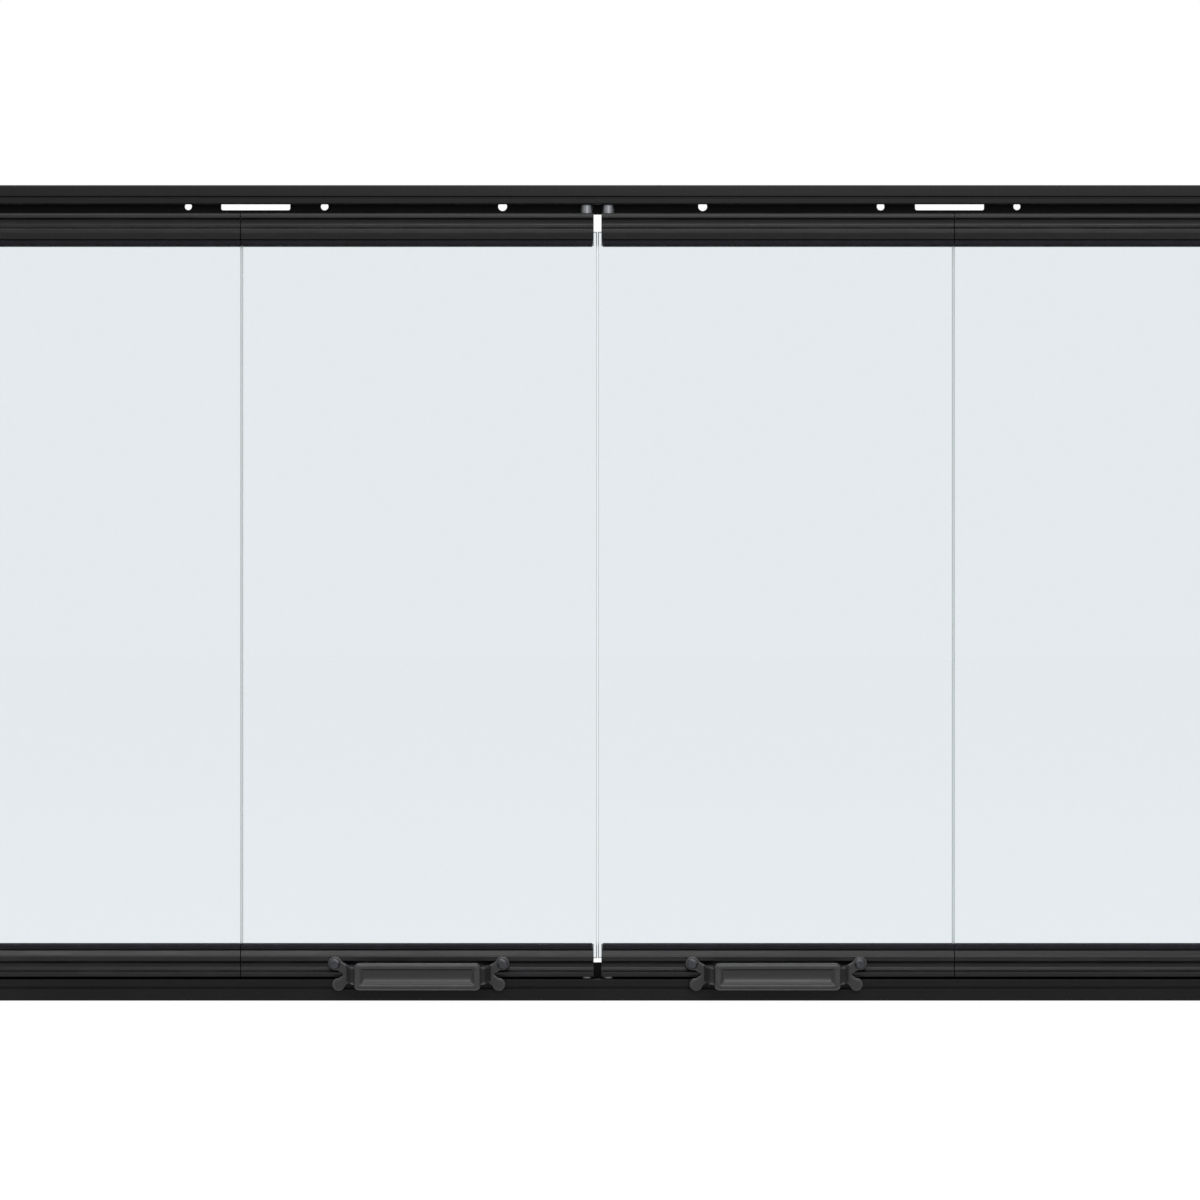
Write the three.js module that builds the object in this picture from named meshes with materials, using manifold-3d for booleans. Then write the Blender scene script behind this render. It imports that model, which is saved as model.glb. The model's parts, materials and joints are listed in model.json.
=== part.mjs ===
// Folding glass door for a fireplace opening: two pairs of glass panels between two tracks.
// Millimetres. X runs along the door, -Y is the room side and +Z is up. The origin is on the
// underside of the bottom track, in the middle of its length and under the guide groove.
//
// Each panel is modelled in its own frame: x = 0 is its pin axis (the pivot of an outer panel, the
// guide of a lead panel) and x grows towards the fold. A rail, and what it carries, is drawn as at
// the bottom: h = 0 is the rail's face towards the track and h grows towards the glass. The top
// pieces are the same ones turned over.

import * as THREE from 'three';
import { mergeVertices } from 'three/addons/utils/BufferGeometryUtils.js';
import Module from 'manifold-3d';

const wasm = await Module();
wasm.setup();

// ---- Driving dimensions: the whole door ----
const PANEL_PITCH = 228.6; // centre line of the door to the fold, and the fold to the door's side
const OVERALL_HEIGHT = 523;
const CENTRE_GAP = 5.0; // between the rails of the two lead panels
const SEAM_GAP = 0.6; // between the rails of a pair, and between any two panes
const BOTTOM_RAIL_LIFT = 15.6; // underside of the door to the bottom rails
const TOP_RAIL_DROP = 18.2; // top of the door down to the top rails
const CLEARANCE = 0.3; // between pieces that fit together
const FACE_GAP = 0.1; // under leaves, ears and screw heads that lie on a face
const ROUND_SIDES = 16;
const SMALL_SIDES = 8; // screws and rivets
const SECTION_STEPS = 3; // steps of each curve in a track's or a rail's section
const OUTLINE_STEPS = 2; // steps of each curve in any other outline

// ---- Tracks: h grows from the track's outer face towards the rails ----
const TRACK_WALL = 1.6;
const TRACK_OVERRUN = 11.7; // track beyond the pivot axis
const GROOVE_WIDTH = 8.8;
const LIP_THICKNESS = 2.0;
const LIP_CORNER = 1.4;
const RIB_THICKNESS = 1.2;
const RIB_HEIGHT = 9.5;
const TRACK_BACK = 13.6; // guide groove's middle to the outer face of the back wall
const TOP_LIP_HEIGHT = 12.4;
const TOP_BACK_HEIGHT = 17.2;
const TOP_LINE_HEIGHT = 7.9; // the line pressed along the lip
const BOTTOM_LIP_HEIGHT = 14.2;
const BOTTOM_BACK_HEIGHT = 23.0;
const BOTTOM_LINE_HEIGHT = 8.3;
const LINE_WIDTH = 1.7;
const LINE_DEPTH = 0.8;

// ---- Holes of the tracks ----
const PUNCH_SHIFT = 3.3; // the whole row of punched holes lies this far to the right
const PUNCH_HEIGHT = 12.0;
const SLOT_OFFSET = 224;
const SLOT_LENGTH = 44.6;
const SLOT_WIDTH = 4.8;
const INNER_HOLE_OFFSET = 64.6;
const INNER_HOLE_RADIUS = 2.9;
const MIDDLE_HOLE_OFFSET = 179.5;
const MIDDLE_HOLE_RADIUS = 2.5;
const OUTER_HOLE_OFFSET = 267.5;
const OUTER_HOLE_RADIUS = 2.3;
const END_HOLE_OFFSET = 400;
const END_HOLE_RADIUS = 2.5;
const FLOOR_HOLE_OFFSETS = [150, 330];
const FLOOR_HOLE_RADIUS = 2.4;

// ---- Rails ----
const RAIL_HEIGHT = 20;
const RAIL_BACK = 8.0; // pin line to the rail's back face
const RAIL_FRONT = 10.0; // pin line to the front of the ridge and the bead
const RAIL_SHOULDER = 7.8; // pin line to where the bead starts to curve down
const RAIL_WALL = 1.6;
const RAIL_CHAMFER = 0.6;
const RIDGE_RADIUS = 1.8;
const COVE_BASE = 3.2;
const COVE_TOP = 10.2;
const COVE_DEPTH = 3.0;
const BEAD_TOP = 13.8;
const FRONT_HEIGHT = 17.0; // of the rail's front leg, which the gasket's flange covers
const PIN_SETBACK = 4.4; // rail's end to the pin axis
const CAVITY_WIDTH = 11.0;
const CAVITY_TOP = 8.3;
const WEB_THICKNESS = 1.5;
const POCKET_WIDTH = 8.0;

// ---- Glass and gaskets ----
const GLASS_THICKNESS = 5.0;
const GLASS_CHAMFER = 0.5;
const GASKET_WALL = 0.9;
const GASKET_WEB = 1.0;
const GASKET_INSET = 1.0; // from the rail's pin end
const GASKET_LIP = 0.8; // stands out of the rail
const GASKET_FRONT = 7.6; // pin line to the front of its flange
const GASKET_CHAMFER = 0.6;

// ---- Pivots of the outer panels ----
const PIVOT_PIN_RADIUS = 1.9;
const PIVOT_COLLAR_RADIUS = 4.0;
const PIVOT_PIN_TIP = 4.0; // from the track's outer face
const PIN_CHAMFER = 0.5;
const INSERT_LENGTH = 24;
const INSERT_RECESS = 0.2; // insert's end behind the rail's end
const PLUNGER_FLANGE_RADIUS = 2.7;
const PLUNGER_FLANGE_THICKNESS = 1.2;
const PLUNGER_ENGAGEMENT = 3.6; // pin inside the block
const TURRET_WALL = 1.2;
const TURRET_ROOF = 1.1;
const TURRET_RISE = 4.0; // turret above the rail
const SPRING_WIRE = 0.6;
const SPRING_TURNS = 5;
const SPRING_SIDE_GAP = 0.2;
const SPRING_STEPS_PER_TURN = 8;
const SPRING_WIRE_SIDES = 5;

// ---- Pivot blocks in the tracks ----
const BLOCK_HEIGHT = 8.0;
const BLOCK_OUTWARD = 7.7; // block beyond the pivot axis
const BLOCK_INWARD = 16.3;
const BLOCK_CORNER = 1.5;
const BLOCK_STUD_OFFSET = 10.3; // inward from the pivot axis
const BLOCK_STUD_RADIUS = 2.0;
const BLOCK_STUD_RECESS = 0.3; // stud's end inside the track's outer face

// ---- Guides and rollers of the lead panels ----
const GUIDE_PIN_RADIUS = 2.0;
const GUIDE_COLLAR_RADIUS = 4.0;
const GUIDE_HEAD_RADIUS = 2.8;
const GUIDE_HEAD_THICKNESS = 1.0;
const GUIDE_HEAD_LIFT = 0.6; // above the track's wall, and below the roller
const ROLLER_HEIGHT = 8.0;
const ROLLER_PLAY = 0.4; // each side in the groove
const ROLLER_CHAMFER = 0.6;

// ---- Hinges behind the folds ----
const HINGE_HEIGHT = 10.0;
const HINGE_BASE = 8.0; // h of its lower end
const HINGE_BARREL_RADIUS = 3.0;
const HINGE_PIN_RADIUS = 1.2;
const HINGE_PIN_HEAD_RADIUS = 2.0;
const HINGE_PIN_HEAD_HEIGHT = 1.0;
const LEAF_THICKNESS = 1.2;
const LEAF_REACH = 24; // fold axis to the leaf's far end
const RIVET_OFFSETS = [8, 18]; // fold axis to the studs that rivet a leaf to its rail
const RIVET_RADIUS = 1.2;
const RIVET_LENGTH = 3.4; // into the rail's back
const RIVET_HEAD_RADIUS = 2.2;
const RIVET_HEAD_HEIGHT = 0.8;

// ---- Handles, drawn about the middle of their length ----
const HANDLE_OFFSET = 114.3; // centre line of the door to the handle's middle
const GRIP_LENGTH = 80;
const GRIP_BASE = -6.2; // h of the grip's lower edge
const GRIP_TOP = 11.0;
const GRIP_THICKNESS = 5.0;
const GRIP_BEVEL = 1.0;
const HANDLE_PROJECTION = 24; // rail's front to the grip's front
const GRIP_CORNER = 3.0;
const RECESS_MARGIN = 4.0; // grip's edge to the recess in its front
const RECESS_DEPTH = 1.2;
const EAR_THICKNESS = 3.0;
const UPPER_LOBE_OFFSET = 53.5;
const UPPER_LOBE_HEIGHT = 9.05;
const UPPER_LOBE_RADIUS = 4.5;
const LOWER_LOBE_OFFSET = 51.2;
const LOWER_LOBE_HEIGHT = -4.4;
const LOWER_LOBE_RADIUS = 4.2;
const ARM_ROOT_OFFSET = 42; // where both arms of the fork meet the leg
const ARM_ROOT_HEIGHT = 2.4;
const ARM_HALF_WIDTH = 3.2;
const LEG_THICKNESS = 5.0;
const LEG_BASE = -3.0;
const LEG_TOP = 8.0;
const LEG_SPLAY = 6.0; // leg's foot beyond its top
const HANDLE_SCREW_RADIUS = 1.5;
const HANDLE_SCREW_HEAD_RADIUS = 3.4;
const HANDLE_SCREW_HEAD_HEIGHT = 2.0;
const HANDLE_SCREW_DEPTH = 5.4; // into the rail, from its front

// ---- Places worked out from the sizes ----
const guideX = CENTRE_GAP / 2 + PIN_SETBACK;
const pivotX = 2 * PANEL_PITCH - guideX;
const foldReach = PANEL_PITCH - guideX; // pin axis to fold axis
const railStart = -PIN_SETBACK;
const railEnd = foldReach - SEAM_GAP / 2;
const paneStart = SEAM_GAP / 2 - guideX; // beyond the rail, so that the lead panes meet at the middle
const topRailZ = OVERALL_HEIGHT - TOP_RAIL_DROP;
const trackHalf = pivotX + TRACK_OVERRUN;
const grooveHalf = GROOVE_WIDTH / 2;
const pocketFloor = CAVITY_TOP + WEB_THICKNESS;
const pocketHalf = POCKET_WIDTH / 2;
const gasketBase = pocketFloor + CLEARANCE;
const glassSeat = gasketBase + GASKET_WEB + CLEARANCE;
const insertStart = railStart + INSERT_RECESS;
const insertBase = RAIL_WALL + CLEARANCE;
const insertTop = CAVITY_TOP - CLEARANCE;
const chamberRadius = PLUNGER_FLANGE_RADIUS + CLEARANCE;
const turretRadius = chamberRadius + TURRET_WALL;
const pinBoreRadius = PIVOT_PIN_RADIUS + CLEARANCE;
const plungerTop = -TURRET_RISE + TURRET_ROOF + CLEARANCE; // h of the flange's face
const blockBase = TRACK_WALL + CLEARANCE;
const blockTop = blockBase + BLOCK_HEIGHT;
const rollerBase = TRACK_WALL + GUIDE_HEAD_LIFT + GUIDE_HEAD_THICKNESS + GUIDE_HEAD_LIFT;
const rollerTop = rollerBase + ROLLER_HEIGHT;
const hingeY = RAIL_BACK + FACE_GAP + HINGE_BARREL_RADIUS;
const hingeMiddle = HINGE_BASE + HINGE_HEIGHT / 2;
const leafY = RAIL_BACK + FACE_GAP;
const knuckleHeight = (HINGE_HEIGHT - 2 * CLEARANCE) / 3;
const handleX = HANDLE_OFFSET - guideX;
const earBack = -(RAIL_FRONT + FACE_GAP);
const gripFront = -(RAIL_FRONT + HANDLE_PROJECTION);

// ---- Finishes ----
const blackPaint = new THREE.MeshStandardMaterial({ color: 0x1d1d1f, roughness: 0.42, metalness: 0.2 });
const blackAnodised = new THREE.MeshStandardMaterial({ color: 0x2b2b2d, roughness: 0.36, metalness: 0.4 });
const clearGlass = new THREE.MeshStandardMaterial({
  color: 0xe4eaed,
  roughness: 0.05,
  metalness: 0,
  transparent: true,
  opacity: 0.35,
});
const silicone = new THREE.MeshStandardMaterial({ color: 0x26272a, roughness: 0.7, metalness: 0 });
const castBlack = new THREE.MeshStandardMaterial({ color: 0x242425, roughness: 0.5, metalness: 0.3 });
const zincPlate = new THREE.MeshStandardMaterial({ color: 0xb4b6b8, roughness: 0.35, metalness: 0.9 });
const springSteel = new THREE.MeshStandardMaterial({ color: 0x8f9296, roughness: 0.3, metalness: 0.95 });
const nylon = new THREE.MeshStandardMaterial({ color: 0xd9d6cd, roughness: 0.55, metalness: 0 });
const blackZinc = new THREE.MeshStandardMaterial({ color: 0x2f3033, roughness: 0.4, metalness: 0.7 });

// ---- Solids from three.js geometry ----

// A solid from a closed geometry. Triangles that the merge makes flat are dropped.
function solidOf(geometry) {
  const bare = geometry.clone();
  bare.deleteAttribute('normal');
  bare.deleteAttribute('uv');
  const merged = mergeVertices(bare);
  const corners = merged.index.array;
  const triangles = [];
  for (let i = 0; i < corners.length; i += 3) {
    const [a, b, c] = corners.slice(i, i + 3);
    if (a !== b && b !== c && c !== a) triangles.push(a, b, c);
  }
  const vertProperties = new Float32Array(merged.attributes.position.array);
  const triVerts = new Uint32Array(triangles);
  return new wasm.Manifold(new wasm.Mesh({ numProp: 3, vertProperties, triVerts }));
}

function geometryOf(solid) {
  const mesh = solid.getMesh();
  const geometry = new THREE.BufferGeometry();
  geometry.setAttribute('position', new THREE.BufferAttribute(mesh.vertProperties, 3));
  geometry.setIndex(new THREE.BufferAttribute(mesh.triVerts, 1));
  return geometry;
}

function joined(solids) {
  return solids.reduce((sum, solid) => sum.add(solid));
}

function cut(solid, tools) {
  return tools.reduce((rest, tool) => rest.subtract(tool), solid);
}

function box([x0, x1], [y0, y1], [z0, z1]) {
  const geometry = new THREE.BoxGeometry(x1 - x0, y1 - y0, z1 - z0);
  return solidOf(geometry.translate((x0 + x1) / 2, (y0 + y1) / 2, (z0 + z1) / 2));
}

// A round bar along z.
function post(radius, [z0, z1], [x, y] = [0, 0], sides = ROUND_SIDES) {
  const geometry = new THREE.CylinderGeometry(radius, radius, z1 - z0, sides);
  return solidOf(geometry.rotateX(Math.PI / 2).translate(x, y, (z0 + z1) / 2));
}

// A round bar along y.
function peg(radius, [y0, y1], [x, z], sides = ROUND_SIDES) {
  const geometry = new THREE.CylinderGeometry(radius, radius, y1 - y0, sides);
  return solidOf(geometry.translate(x, (y0 + y1) / 2, z));
}

// A turned piece about the z axis, from [radius, z] points that run upwards.
function turned(points, sides = ROUND_SIDES) {
  const profile = points.map(([radius, z]) => new THREE.Vector2(radius, z));
  return solidOf(new THREE.LatheGeometry(profile, sides).rotateX(Math.PI / 2));
}

// An outline in (y, h), drawn out along x.
function sweptAlongX(shape, [x0, x1]) {
  const options = { depth: x1 - x0, bevelEnabled: false, curveSegments: SECTION_STEPS };
  const geometry = new THREE.ExtrudeGeometry(shape, options);
  const turn = new THREE.Matrix4().set(0, 0, 1, x0, 1, 0, 0, 0, 0, 1, 0, 0, 0, 0, 0, 1);
  return solidOf(geometry.applyMatrix4(turn));
}

// An outline in (x, h), drawn out along y, with its edges bevelled where a bevel is given.
function plate(shape, [y0, y1], bevel = 0) {
  const options = {
    depth: y1 - y0 - 2 * bevel,
    bevelEnabled: bevel > 0,
    bevelSize: bevel,
    bevelOffset: -bevel,
    bevelThickness: bevel,
    bevelSegments: 1,
    curveSegments: OUTLINE_STEPS,
  };
  const geometry = new THREE.ExtrudeGeometry(shape, options);
  return solidOf(geometry.rotateX(Math.PI / 2).translate(0, y1 - bevel, 0));
}

// An outline in (x, y), drawn out along z.
function prism(shape, [z0, z1]) {
  const options = { depth: z1 - z0, bevelEnabled: false, curveSegments: OUTLINE_STEPS };
  const geometry = new THREE.ExtrudeGeometry(shape, options);
  return solidOf(geometry.translate(0, 0, z0));
}

function polygon(points) {
  return new THREE.Shape(points.map(([a, b]) => new THREE.Vector2(a, b)));
}

// A rectangle with round corners.
function roundedRectangle([a0, a1], [b0, b1], radius) {
  const shape = new THREE.Shape();
  shape.moveTo(a0 + radius, b0);
  shape.lineTo(a1 - radius, b0);
  shape.absarc(a1 - radius, b0 + radius, radius, -Math.PI / 2, 0, false);
  shape.lineTo(a1, b1 - radius);
  shape.absarc(a1 - radius, b1 - radius, radius, 0, Math.PI / 2, false);
  shape.lineTo(a0 + radius, b1);
  shape.absarc(a0 + radius, b1 - radius, radius, Math.PI / 2, Math.PI, false);
  shape.lineTo(a0, b0 + radius);
  shape.absarc(a0 + radius, b0 + radius, radius, Math.PI, 1.5 * Math.PI, false);
  return shape;
}

// Adds a solid to a group as a named mesh. hand = -1 turns it left for right, up = -1 turns it upside down.
function place(group, name, solid, material, { z = 0, hand = 1, up = 1 } = {}) {
  const geometry = geometryOf(solid).scale(hand, 1, up);
  if (hand * up < 0) {
    const corners = geometry.index.array;
    for (let i = 0; i < corners.length; i += 3) {
      [corners[i + 1], corners[i + 2]] = [corners[i + 2], corners[i + 1]];
    }
  }
  const mesh = new THREE.Mesh(geometry, material.clone());
  mesh.name = name;
  mesh.position.z = z;
  group.add(mesh);
}

// The two levels at which a panel meets a track.
const LEVELS = [
  { level: 'bottom', z: BOTTOM_RAIL_LIFT, up: 1, toTrack: BOTTOM_RAIL_LIFT },
  { level: 'top', z: topRailZ, up: -1, toTrack: TOP_RAIL_DROP },
];

// ---- Tracks ----

function trackSection(lipHeight, lineHeight, backHeight) {
  const lipInside = -grooveHalf;
  const lipFront = lipInside - LIP_THICKNESS;
  const lipRound = LIP_THICKNESS / 2;
  const backInside = TRACK_BACK - TRACK_WALL;
  const ribBack = grooveHalf + RIB_THICKNESS;
  const shape = new THREE.Shape();
  shape.moveTo(lipFront + LIP_CORNER, 0);
  shape.lineTo(TRACK_BACK, 0);
  shape.lineTo(TRACK_BACK, backHeight);
  shape.lineTo(backInside, backHeight);
  shape.lineTo(backInside, TRACK_WALL);
  shape.lineTo(ribBack, TRACK_WALL);
  shape.lineTo(ribBack, RIB_HEIGHT);
  shape.lineTo(grooveHalf, RIB_HEIGHT);
  shape.lineTo(grooveHalf, TRACK_WALL);
  shape.lineTo(lipInside, TRACK_WALL);
  shape.lineTo(lipInside, lipHeight - lipRound);
  shape.absarc(lipFront + lipRound, lipHeight - lipRound, lipRound, 0, Math.PI, false);
  shape.lineTo(lipFront, lineHeight + LINE_WIDTH / 2);
  shape.quadraticCurveTo(lipFront + 2 * LINE_DEPTH, lineHeight, lipFront, lineHeight - LINE_WIDTH / 2);
  shape.lineTo(lipFront, LIP_CORNER);
  shape.absarc(lipFront + LIP_CORNER, LIP_CORNER, LIP_CORNER, Math.PI, 1.5 * Math.PI, false);
  return shape;
}

// Cutters for the holes that take the pivot blocks' studs, through the track's outer wall.
function blockStudHoles() {
  const x = pivotX - BLOCK_STUD_OFFSET;
  const span = [-CLEARANCE, TRACK_WALL + CLEARANCE];
  return [-x, x].map((middle) => post(BLOCK_STUD_RADIUS + CLEARANCE, span, [middle, 0], SMALL_SIDES));
}

// Cutters for the round holes and the slots along the top track's back wall.
function backWallHoles() {
  const through = [TRACK_BACK - TRACK_WALL - CLEARANCE, TRACK_BACK + CLEARANCE];
  const rounds = [
    [INNER_HOLE_OFFSET, INNER_HOLE_RADIUS],
    [MIDDLE_HOLE_OFFSET, MIDDLE_HOLE_RADIUS],
    [OUTER_HOLE_OFFSET, OUTER_HOLE_RADIUS],
    [END_HOLE_OFFSET, END_HOLE_RADIUS],
  ];
  const slotSpan = [PUNCH_HEIGHT - SLOT_WIDTH / 2, PUNCH_HEIGHT + SLOT_WIDTH / 2];
  const tools = [];
  for (const side of [-1, 1]) {
    for (const [offset, radius] of rounds) {
      tools.push(peg(radius, through, [side * offset + PUNCH_SHIFT, PUNCH_HEIGHT]));
    }
    const middle = side * SLOT_OFFSET + PUNCH_SHIFT;
    const ends = [middle - SLOT_LENGTH / 2, middle + SLOT_LENGTH / 2];
    tools.push(plate(roundedRectangle(ends, slotSpan, SLOT_WIDTH / 4), through));
  }
  return tools;
}

// Cutters for the screw holes between the bottom track's rib and its back wall.
function floorHoles() {
  const y = (grooveHalf + RIB_THICKNESS + TRACK_BACK - TRACK_WALL) / 2;
  const span = [-CLEARANCE, TRACK_WALL + CLEARANCE];
  const places = FLOOR_HOLE_OFFSETS.flatMap((offset) => [-offset, offset]);
  return places.map((x) => post(FLOOR_HOLE_RADIUS, span, [x, y], SMALL_SIDES));
}

function topTrack() {
  const section = trackSection(TOP_LIP_HEIGHT, TOP_LINE_HEIGHT, TOP_BACK_HEIGHT);
  const bar = sweptAlongX(section, [-trackHalf, trackHalf]);
  return cut(bar, [...blockStudHoles(), ...backWallHoles()]);
}

function bottomTrack() {
  const section = trackSection(BOTTOM_LIP_HEIGHT, BOTTOM_LINE_HEIGHT, BOTTOM_BACK_HEIGHT);
  const bar = sweptAlongX(section, [-trackHalf, trackHalf]);
  return cut(bar, [...blockStudHoles(), ...floorHoles()]);
}

// A pivot block with its stud, about the pivot axis. Its h is measured from the track's outer face.
function pivotBlock() {
  const half = grooveHalf - CLEARANCE;
  const outline = roundedRectangle([-BLOCK_OUTWARD, BLOCK_INWARD], [-half, half], BLOCK_CORNER);
  const studSpan = [BLOCK_STUD_RECESS, blockTop - BLOCK_HEIGHT / 2];
  const stud = post(BLOCK_STUD_RADIUS, studSpan, [BLOCK_STUD_OFFSET, 0], SMALL_SIDES);
  const bore = post(pinBoreRadius, [blockBase - CLEARANCE, blockTop + CLEARANCE]);
  return prism(outline, [blockBase, blockTop]).add(stud).subtract(bore);
}

// A pan head screw along z, its head standing on z = 0 and its shank going down.
function panScrew(shankRadius, length, headRadius, headHeight) {
  return turned(
    [
      [0, -length],
      [shankRadius * 0.7, -length],
      [shankRadius, -length + shankRadius * 0.5],
      [shankRadius, 0],
      [headRadius, 0],
      [headRadius, headHeight * 0.4],
      [headRadius * 0.8, headHeight * 0.8],
      [headRadius * 0.45, headHeight],
      [0, headHeight],
    ],
    SMALL_SIDES,
  );
}

// The same solid at another place.
function moved(solid, x, y, z) {
  return solidOf(geometryOf(solid).translate(x, y, z));
}

// ---- Rails ----

function railSection() {
  const half = CAVITY_WIDTH / 2;
  const coveHalf = (COVE_TOP - COVE_BASE) / 2;
  const coveMiddle = (COVE_TOP + COVE_BASE) / 2;
  const coveRadius = (coveHalf ** 2 + COVE_DEPTH ** 2) / (2 * COVE_DEPTH);
  const coveCentre = -RAIL_FRONT + COVE_DEPTH - coveRadius;
  const coveAngle = Math.atan2(coveHalf, coveRadius - COVE_DEPTH);
  const shape = new THREE.Shape();
  shape.moveTo(RAIL_BACK, 0);
  shape.lineTo(RAIL_BACK, RAIL_HEIGHT - RAIL_CHAMFER);
  shape.lineTo(RAIL_BACK - RAIL_CHAMFER, RAIL_HEIGHT);
  shape.lineTo(pocketHalf, RAIL_HEIGHT);
  shape.lineTo(pocketHalf, pocketFloor);
  shape.lineTo(-pocketHalf, pocketFloor);
  shape.lineTo(-pocketHalf, FRONT_HEIGHT);
  shape.lineTo(-RAIL_SHOULDER, FRONT_HEIGHT);
  shape.quadraticCurveTo(-RAIL_FRONT, FRONT_HEIGHT, -RAIL_FRONT, BEAD_TOP);
  shape.lineTo(-RAIL_FRONT, COVE_TOP);
  shape.absarc(coveCentre, coveMiddle, coveRadius, coveAngle, -coveAngle, true);
  shape.lineTo(-RAIL_FRONT, RIDGE_RADIUS);
  shape.absarc(-RAIL_FRONT + RIDGE_RADIUS, RIDGE_RADIUS, RIDGE_RADIUS, Math.PI, 1.5 * Math.PI, false);
  const cavity = [[-half, RAIL_WALL], [-half, CAVITY_TOP], [half, CAVITY_TOP], [half, RAIL_WALL]];
  shape.holes.push(new THREE.Path(cavity.map(([y, h]) => new THREE.Vector2(y, h))));
  return shape;
}

// The cutter that opens the rail's face to the track at its pin end.
function pinNotch() {
  const half = turretRadius + CLEARANCE;
  return box([railStart - CLEARANCE, half], [-half, half], [-CLEARANCE, RAIL_WALL + CLEARANCE]);
}

function rivetHoles() {
  const through = [pocketHalf - CLEARANCE, RAIL_BACK + CLEARANCE];
  return RIVET_OFFSETS.map((offset) => {
    return peg(RIVET_RADIUS + CLEARANCE, through, [foldReach - offset, hingeMiddle], SMALL_SIDES);
  });
}

function handleScrewHoles([y0, y1]) {
  const radius = HANDLE_SCREW_RADIUS + CLEARANCE;
  return [-1, 1].map((side) => {
    return peg(radius, [y0, y1], [handleX + side * UPPER_LOBE_OFFSET, UPPER_LOBE_HEIGHT], SMALL_SIDES);
  });
}

function rail() {
  const bar = sweptAlongX(railSection(), [railStart, railEnd]);
  return cut(bar, [pinNotch(), ...rivetHoles()]);
}

function handleRail() {
  const depth = -RAIL_FRONT + HANDLE_SCREW_DEPTH + CLEARANCE;
  return cut(rail(), handleScrewHoles([-RAIL_FRONT - CLEARANCE, depth]));
}

// ---- Glass and gaskets ----

function glassPane() {
  const half = GLASS_THICKNESS / 2;
  const height = topRailZ - BOTTOM_RAIL_LIFT;
  const outline = polygon([
    [paneStart, glassSeat],
    [railEnd, glassSeat],
    [railEnd, height - glassSeat],
    [paneStart, height - glassSeat],
  ]);
  return plate(outline, [-half, half], GLASS_CHAMFER);
}

// A U round the glass's edge, with a flange that covers the rail's front leg.
function gasket() {
  const outer = pocketHalf - CLEARANCE;
  const inner = outer - GASKET_WALL;
  const top = RAIL_HEIGHT + GASKET_LIP;
  const flangeBase = FRONT_HEIGHT + CLEARANCE;
  const channel = polygon([
    [-outer, gasketBase],
    [outer, gasketBase],
    [outer, top],
    [inner, top],
    [inner, gasketBase + GASKET_WEB],
    [-inner, gasketBase + GASKET_WEB],
    [-inner, top],
    [-(GASKET_FRONT - GASKET_CHAMFER), top],
    [-GASKET_FRONT, top - GASKET_CHAMFER],
    [-GASKET_FRONT, flangeBase],
    [-outer, flangeBase],
  ]);
  return sweptAlongX(channel, [railStart + GASKET_INSET, railEnd]);
}

// ---- Pivots ----

// The block that slides into a rail's end and carries a pin.
function insertBlock() {
  const half = CAVITY_WIDTH / 2 - CLEARANCE;
  return box([insertStart, insertStart + INSERT_LENGTH], [-half, half], [insertBase, insertTop]);
}

function pivotHousing() {
  const chamberTop = -TURRET_RISE + TURRET_ROOF;
  const body = insertBlock().add(post(turretRadius, [-TURRET_RISE, insertTop]));
  return cut(body, [
    post(chamberRadius, [chamberTop, insertTop + CLEARANCE]),
    post(pinBoreRadius, [-TURRET_RISE - CLEARANCE, chamberTop + CLEARANCE]),
  ]);
}

function plunger() {
  const tip = blockTop - PLUNGER_ENGAGEMENT - TOP_RAIL_DROP;
  return turned([
    [0, tip],
    [PIVOT_PIN_RADIUS - PIN_CHAMFER, tip],
    [PIVOT_PIN_RADIUS, tip + PIN_CHAMFER],
    [PIVOT_PIN_RADIUS, plungerTop],
    [PLUNGER_FLANGE_RADIUS, plungerTop],
    [PLUNGER_FLANGE_RADIUS, plungerTop + PLUNGER_FLANGE_THICKNESS],
    [0, plungerTop + PLUNGER_FLANGE_THICKNESS],
  ]);
}

class Helix extends THREE.Curve {
  constructor(radius, start, end, turns) {
    super();
    Object.assign(this, { radius, start, end, turns });
  }

  getPoint(t, target = new THREE.Vector3()) {
    const angle = 2 * Math.PI * this.turns * t;
    const z = this.start + (this.end - this.start) * t;
    return target.set(this.radius * Math.cos(angle), this.radius * Math.sin(angle), z);
  }
}

// The spring between the rail's web and the plunger's flange.
function pivotSpring() {
  const wire = SPRING_WIRE / 2;
  const radius = PLUNGER_FLANGE_RADIUS - SPRING_SIDE_GAP - wire;
  const start = plungerTop + PLUNGER_FLANGE_THICKNESS + CLEARANCE + wire;
  const path = new Helix(radius, start, CAVITY_TOP - CLEARANCE - wire, SPRING_TURNS);
  const corners = Array.from({ length: SPRING_WIRE_SIDES }, (_, i) => {
    const angle = (2 * Math.PI * i) / SPRING_WIRE_SIDES;
    return [wire * Math.cos(angle), wire * Math.sin(angle)];
  });
  const steps = SPRING_TURNS * SPRING_STEPS_PER_TURN;
  const options = { steps, extrudePath: path, bevelEnabled: false };
  return solidOf(new THREE.ExtrudeGeometry(polygon(corners), options));
}

function bottomPivot() {
  const shoulder = blockTop + CLEARANCE - BOTTOM_RAIL_LIFT;
  const tip = PIVOT_PIN_TIP - BOTTOM_RAIL_LIFT;
  const spindle = turned([
    [0, tip],
    [PIVOT_PIN_RADIUS - PIN_CHAMFER, tip],
    [PIVOT_PIN_RADIUS, tip + PIN_CHAMFER],
    [PIVOT_PIN_RADIUS, shoulder],
    [PIVOT_COLLAR_RADIUS, shoulder],
    [PIVOT_COLLAR_RADIUS, insertTop],
    [0, insertTop],
  ]);
  return insertBlock().add(spindle);
}

// ---- Guides and rollers ----

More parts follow.
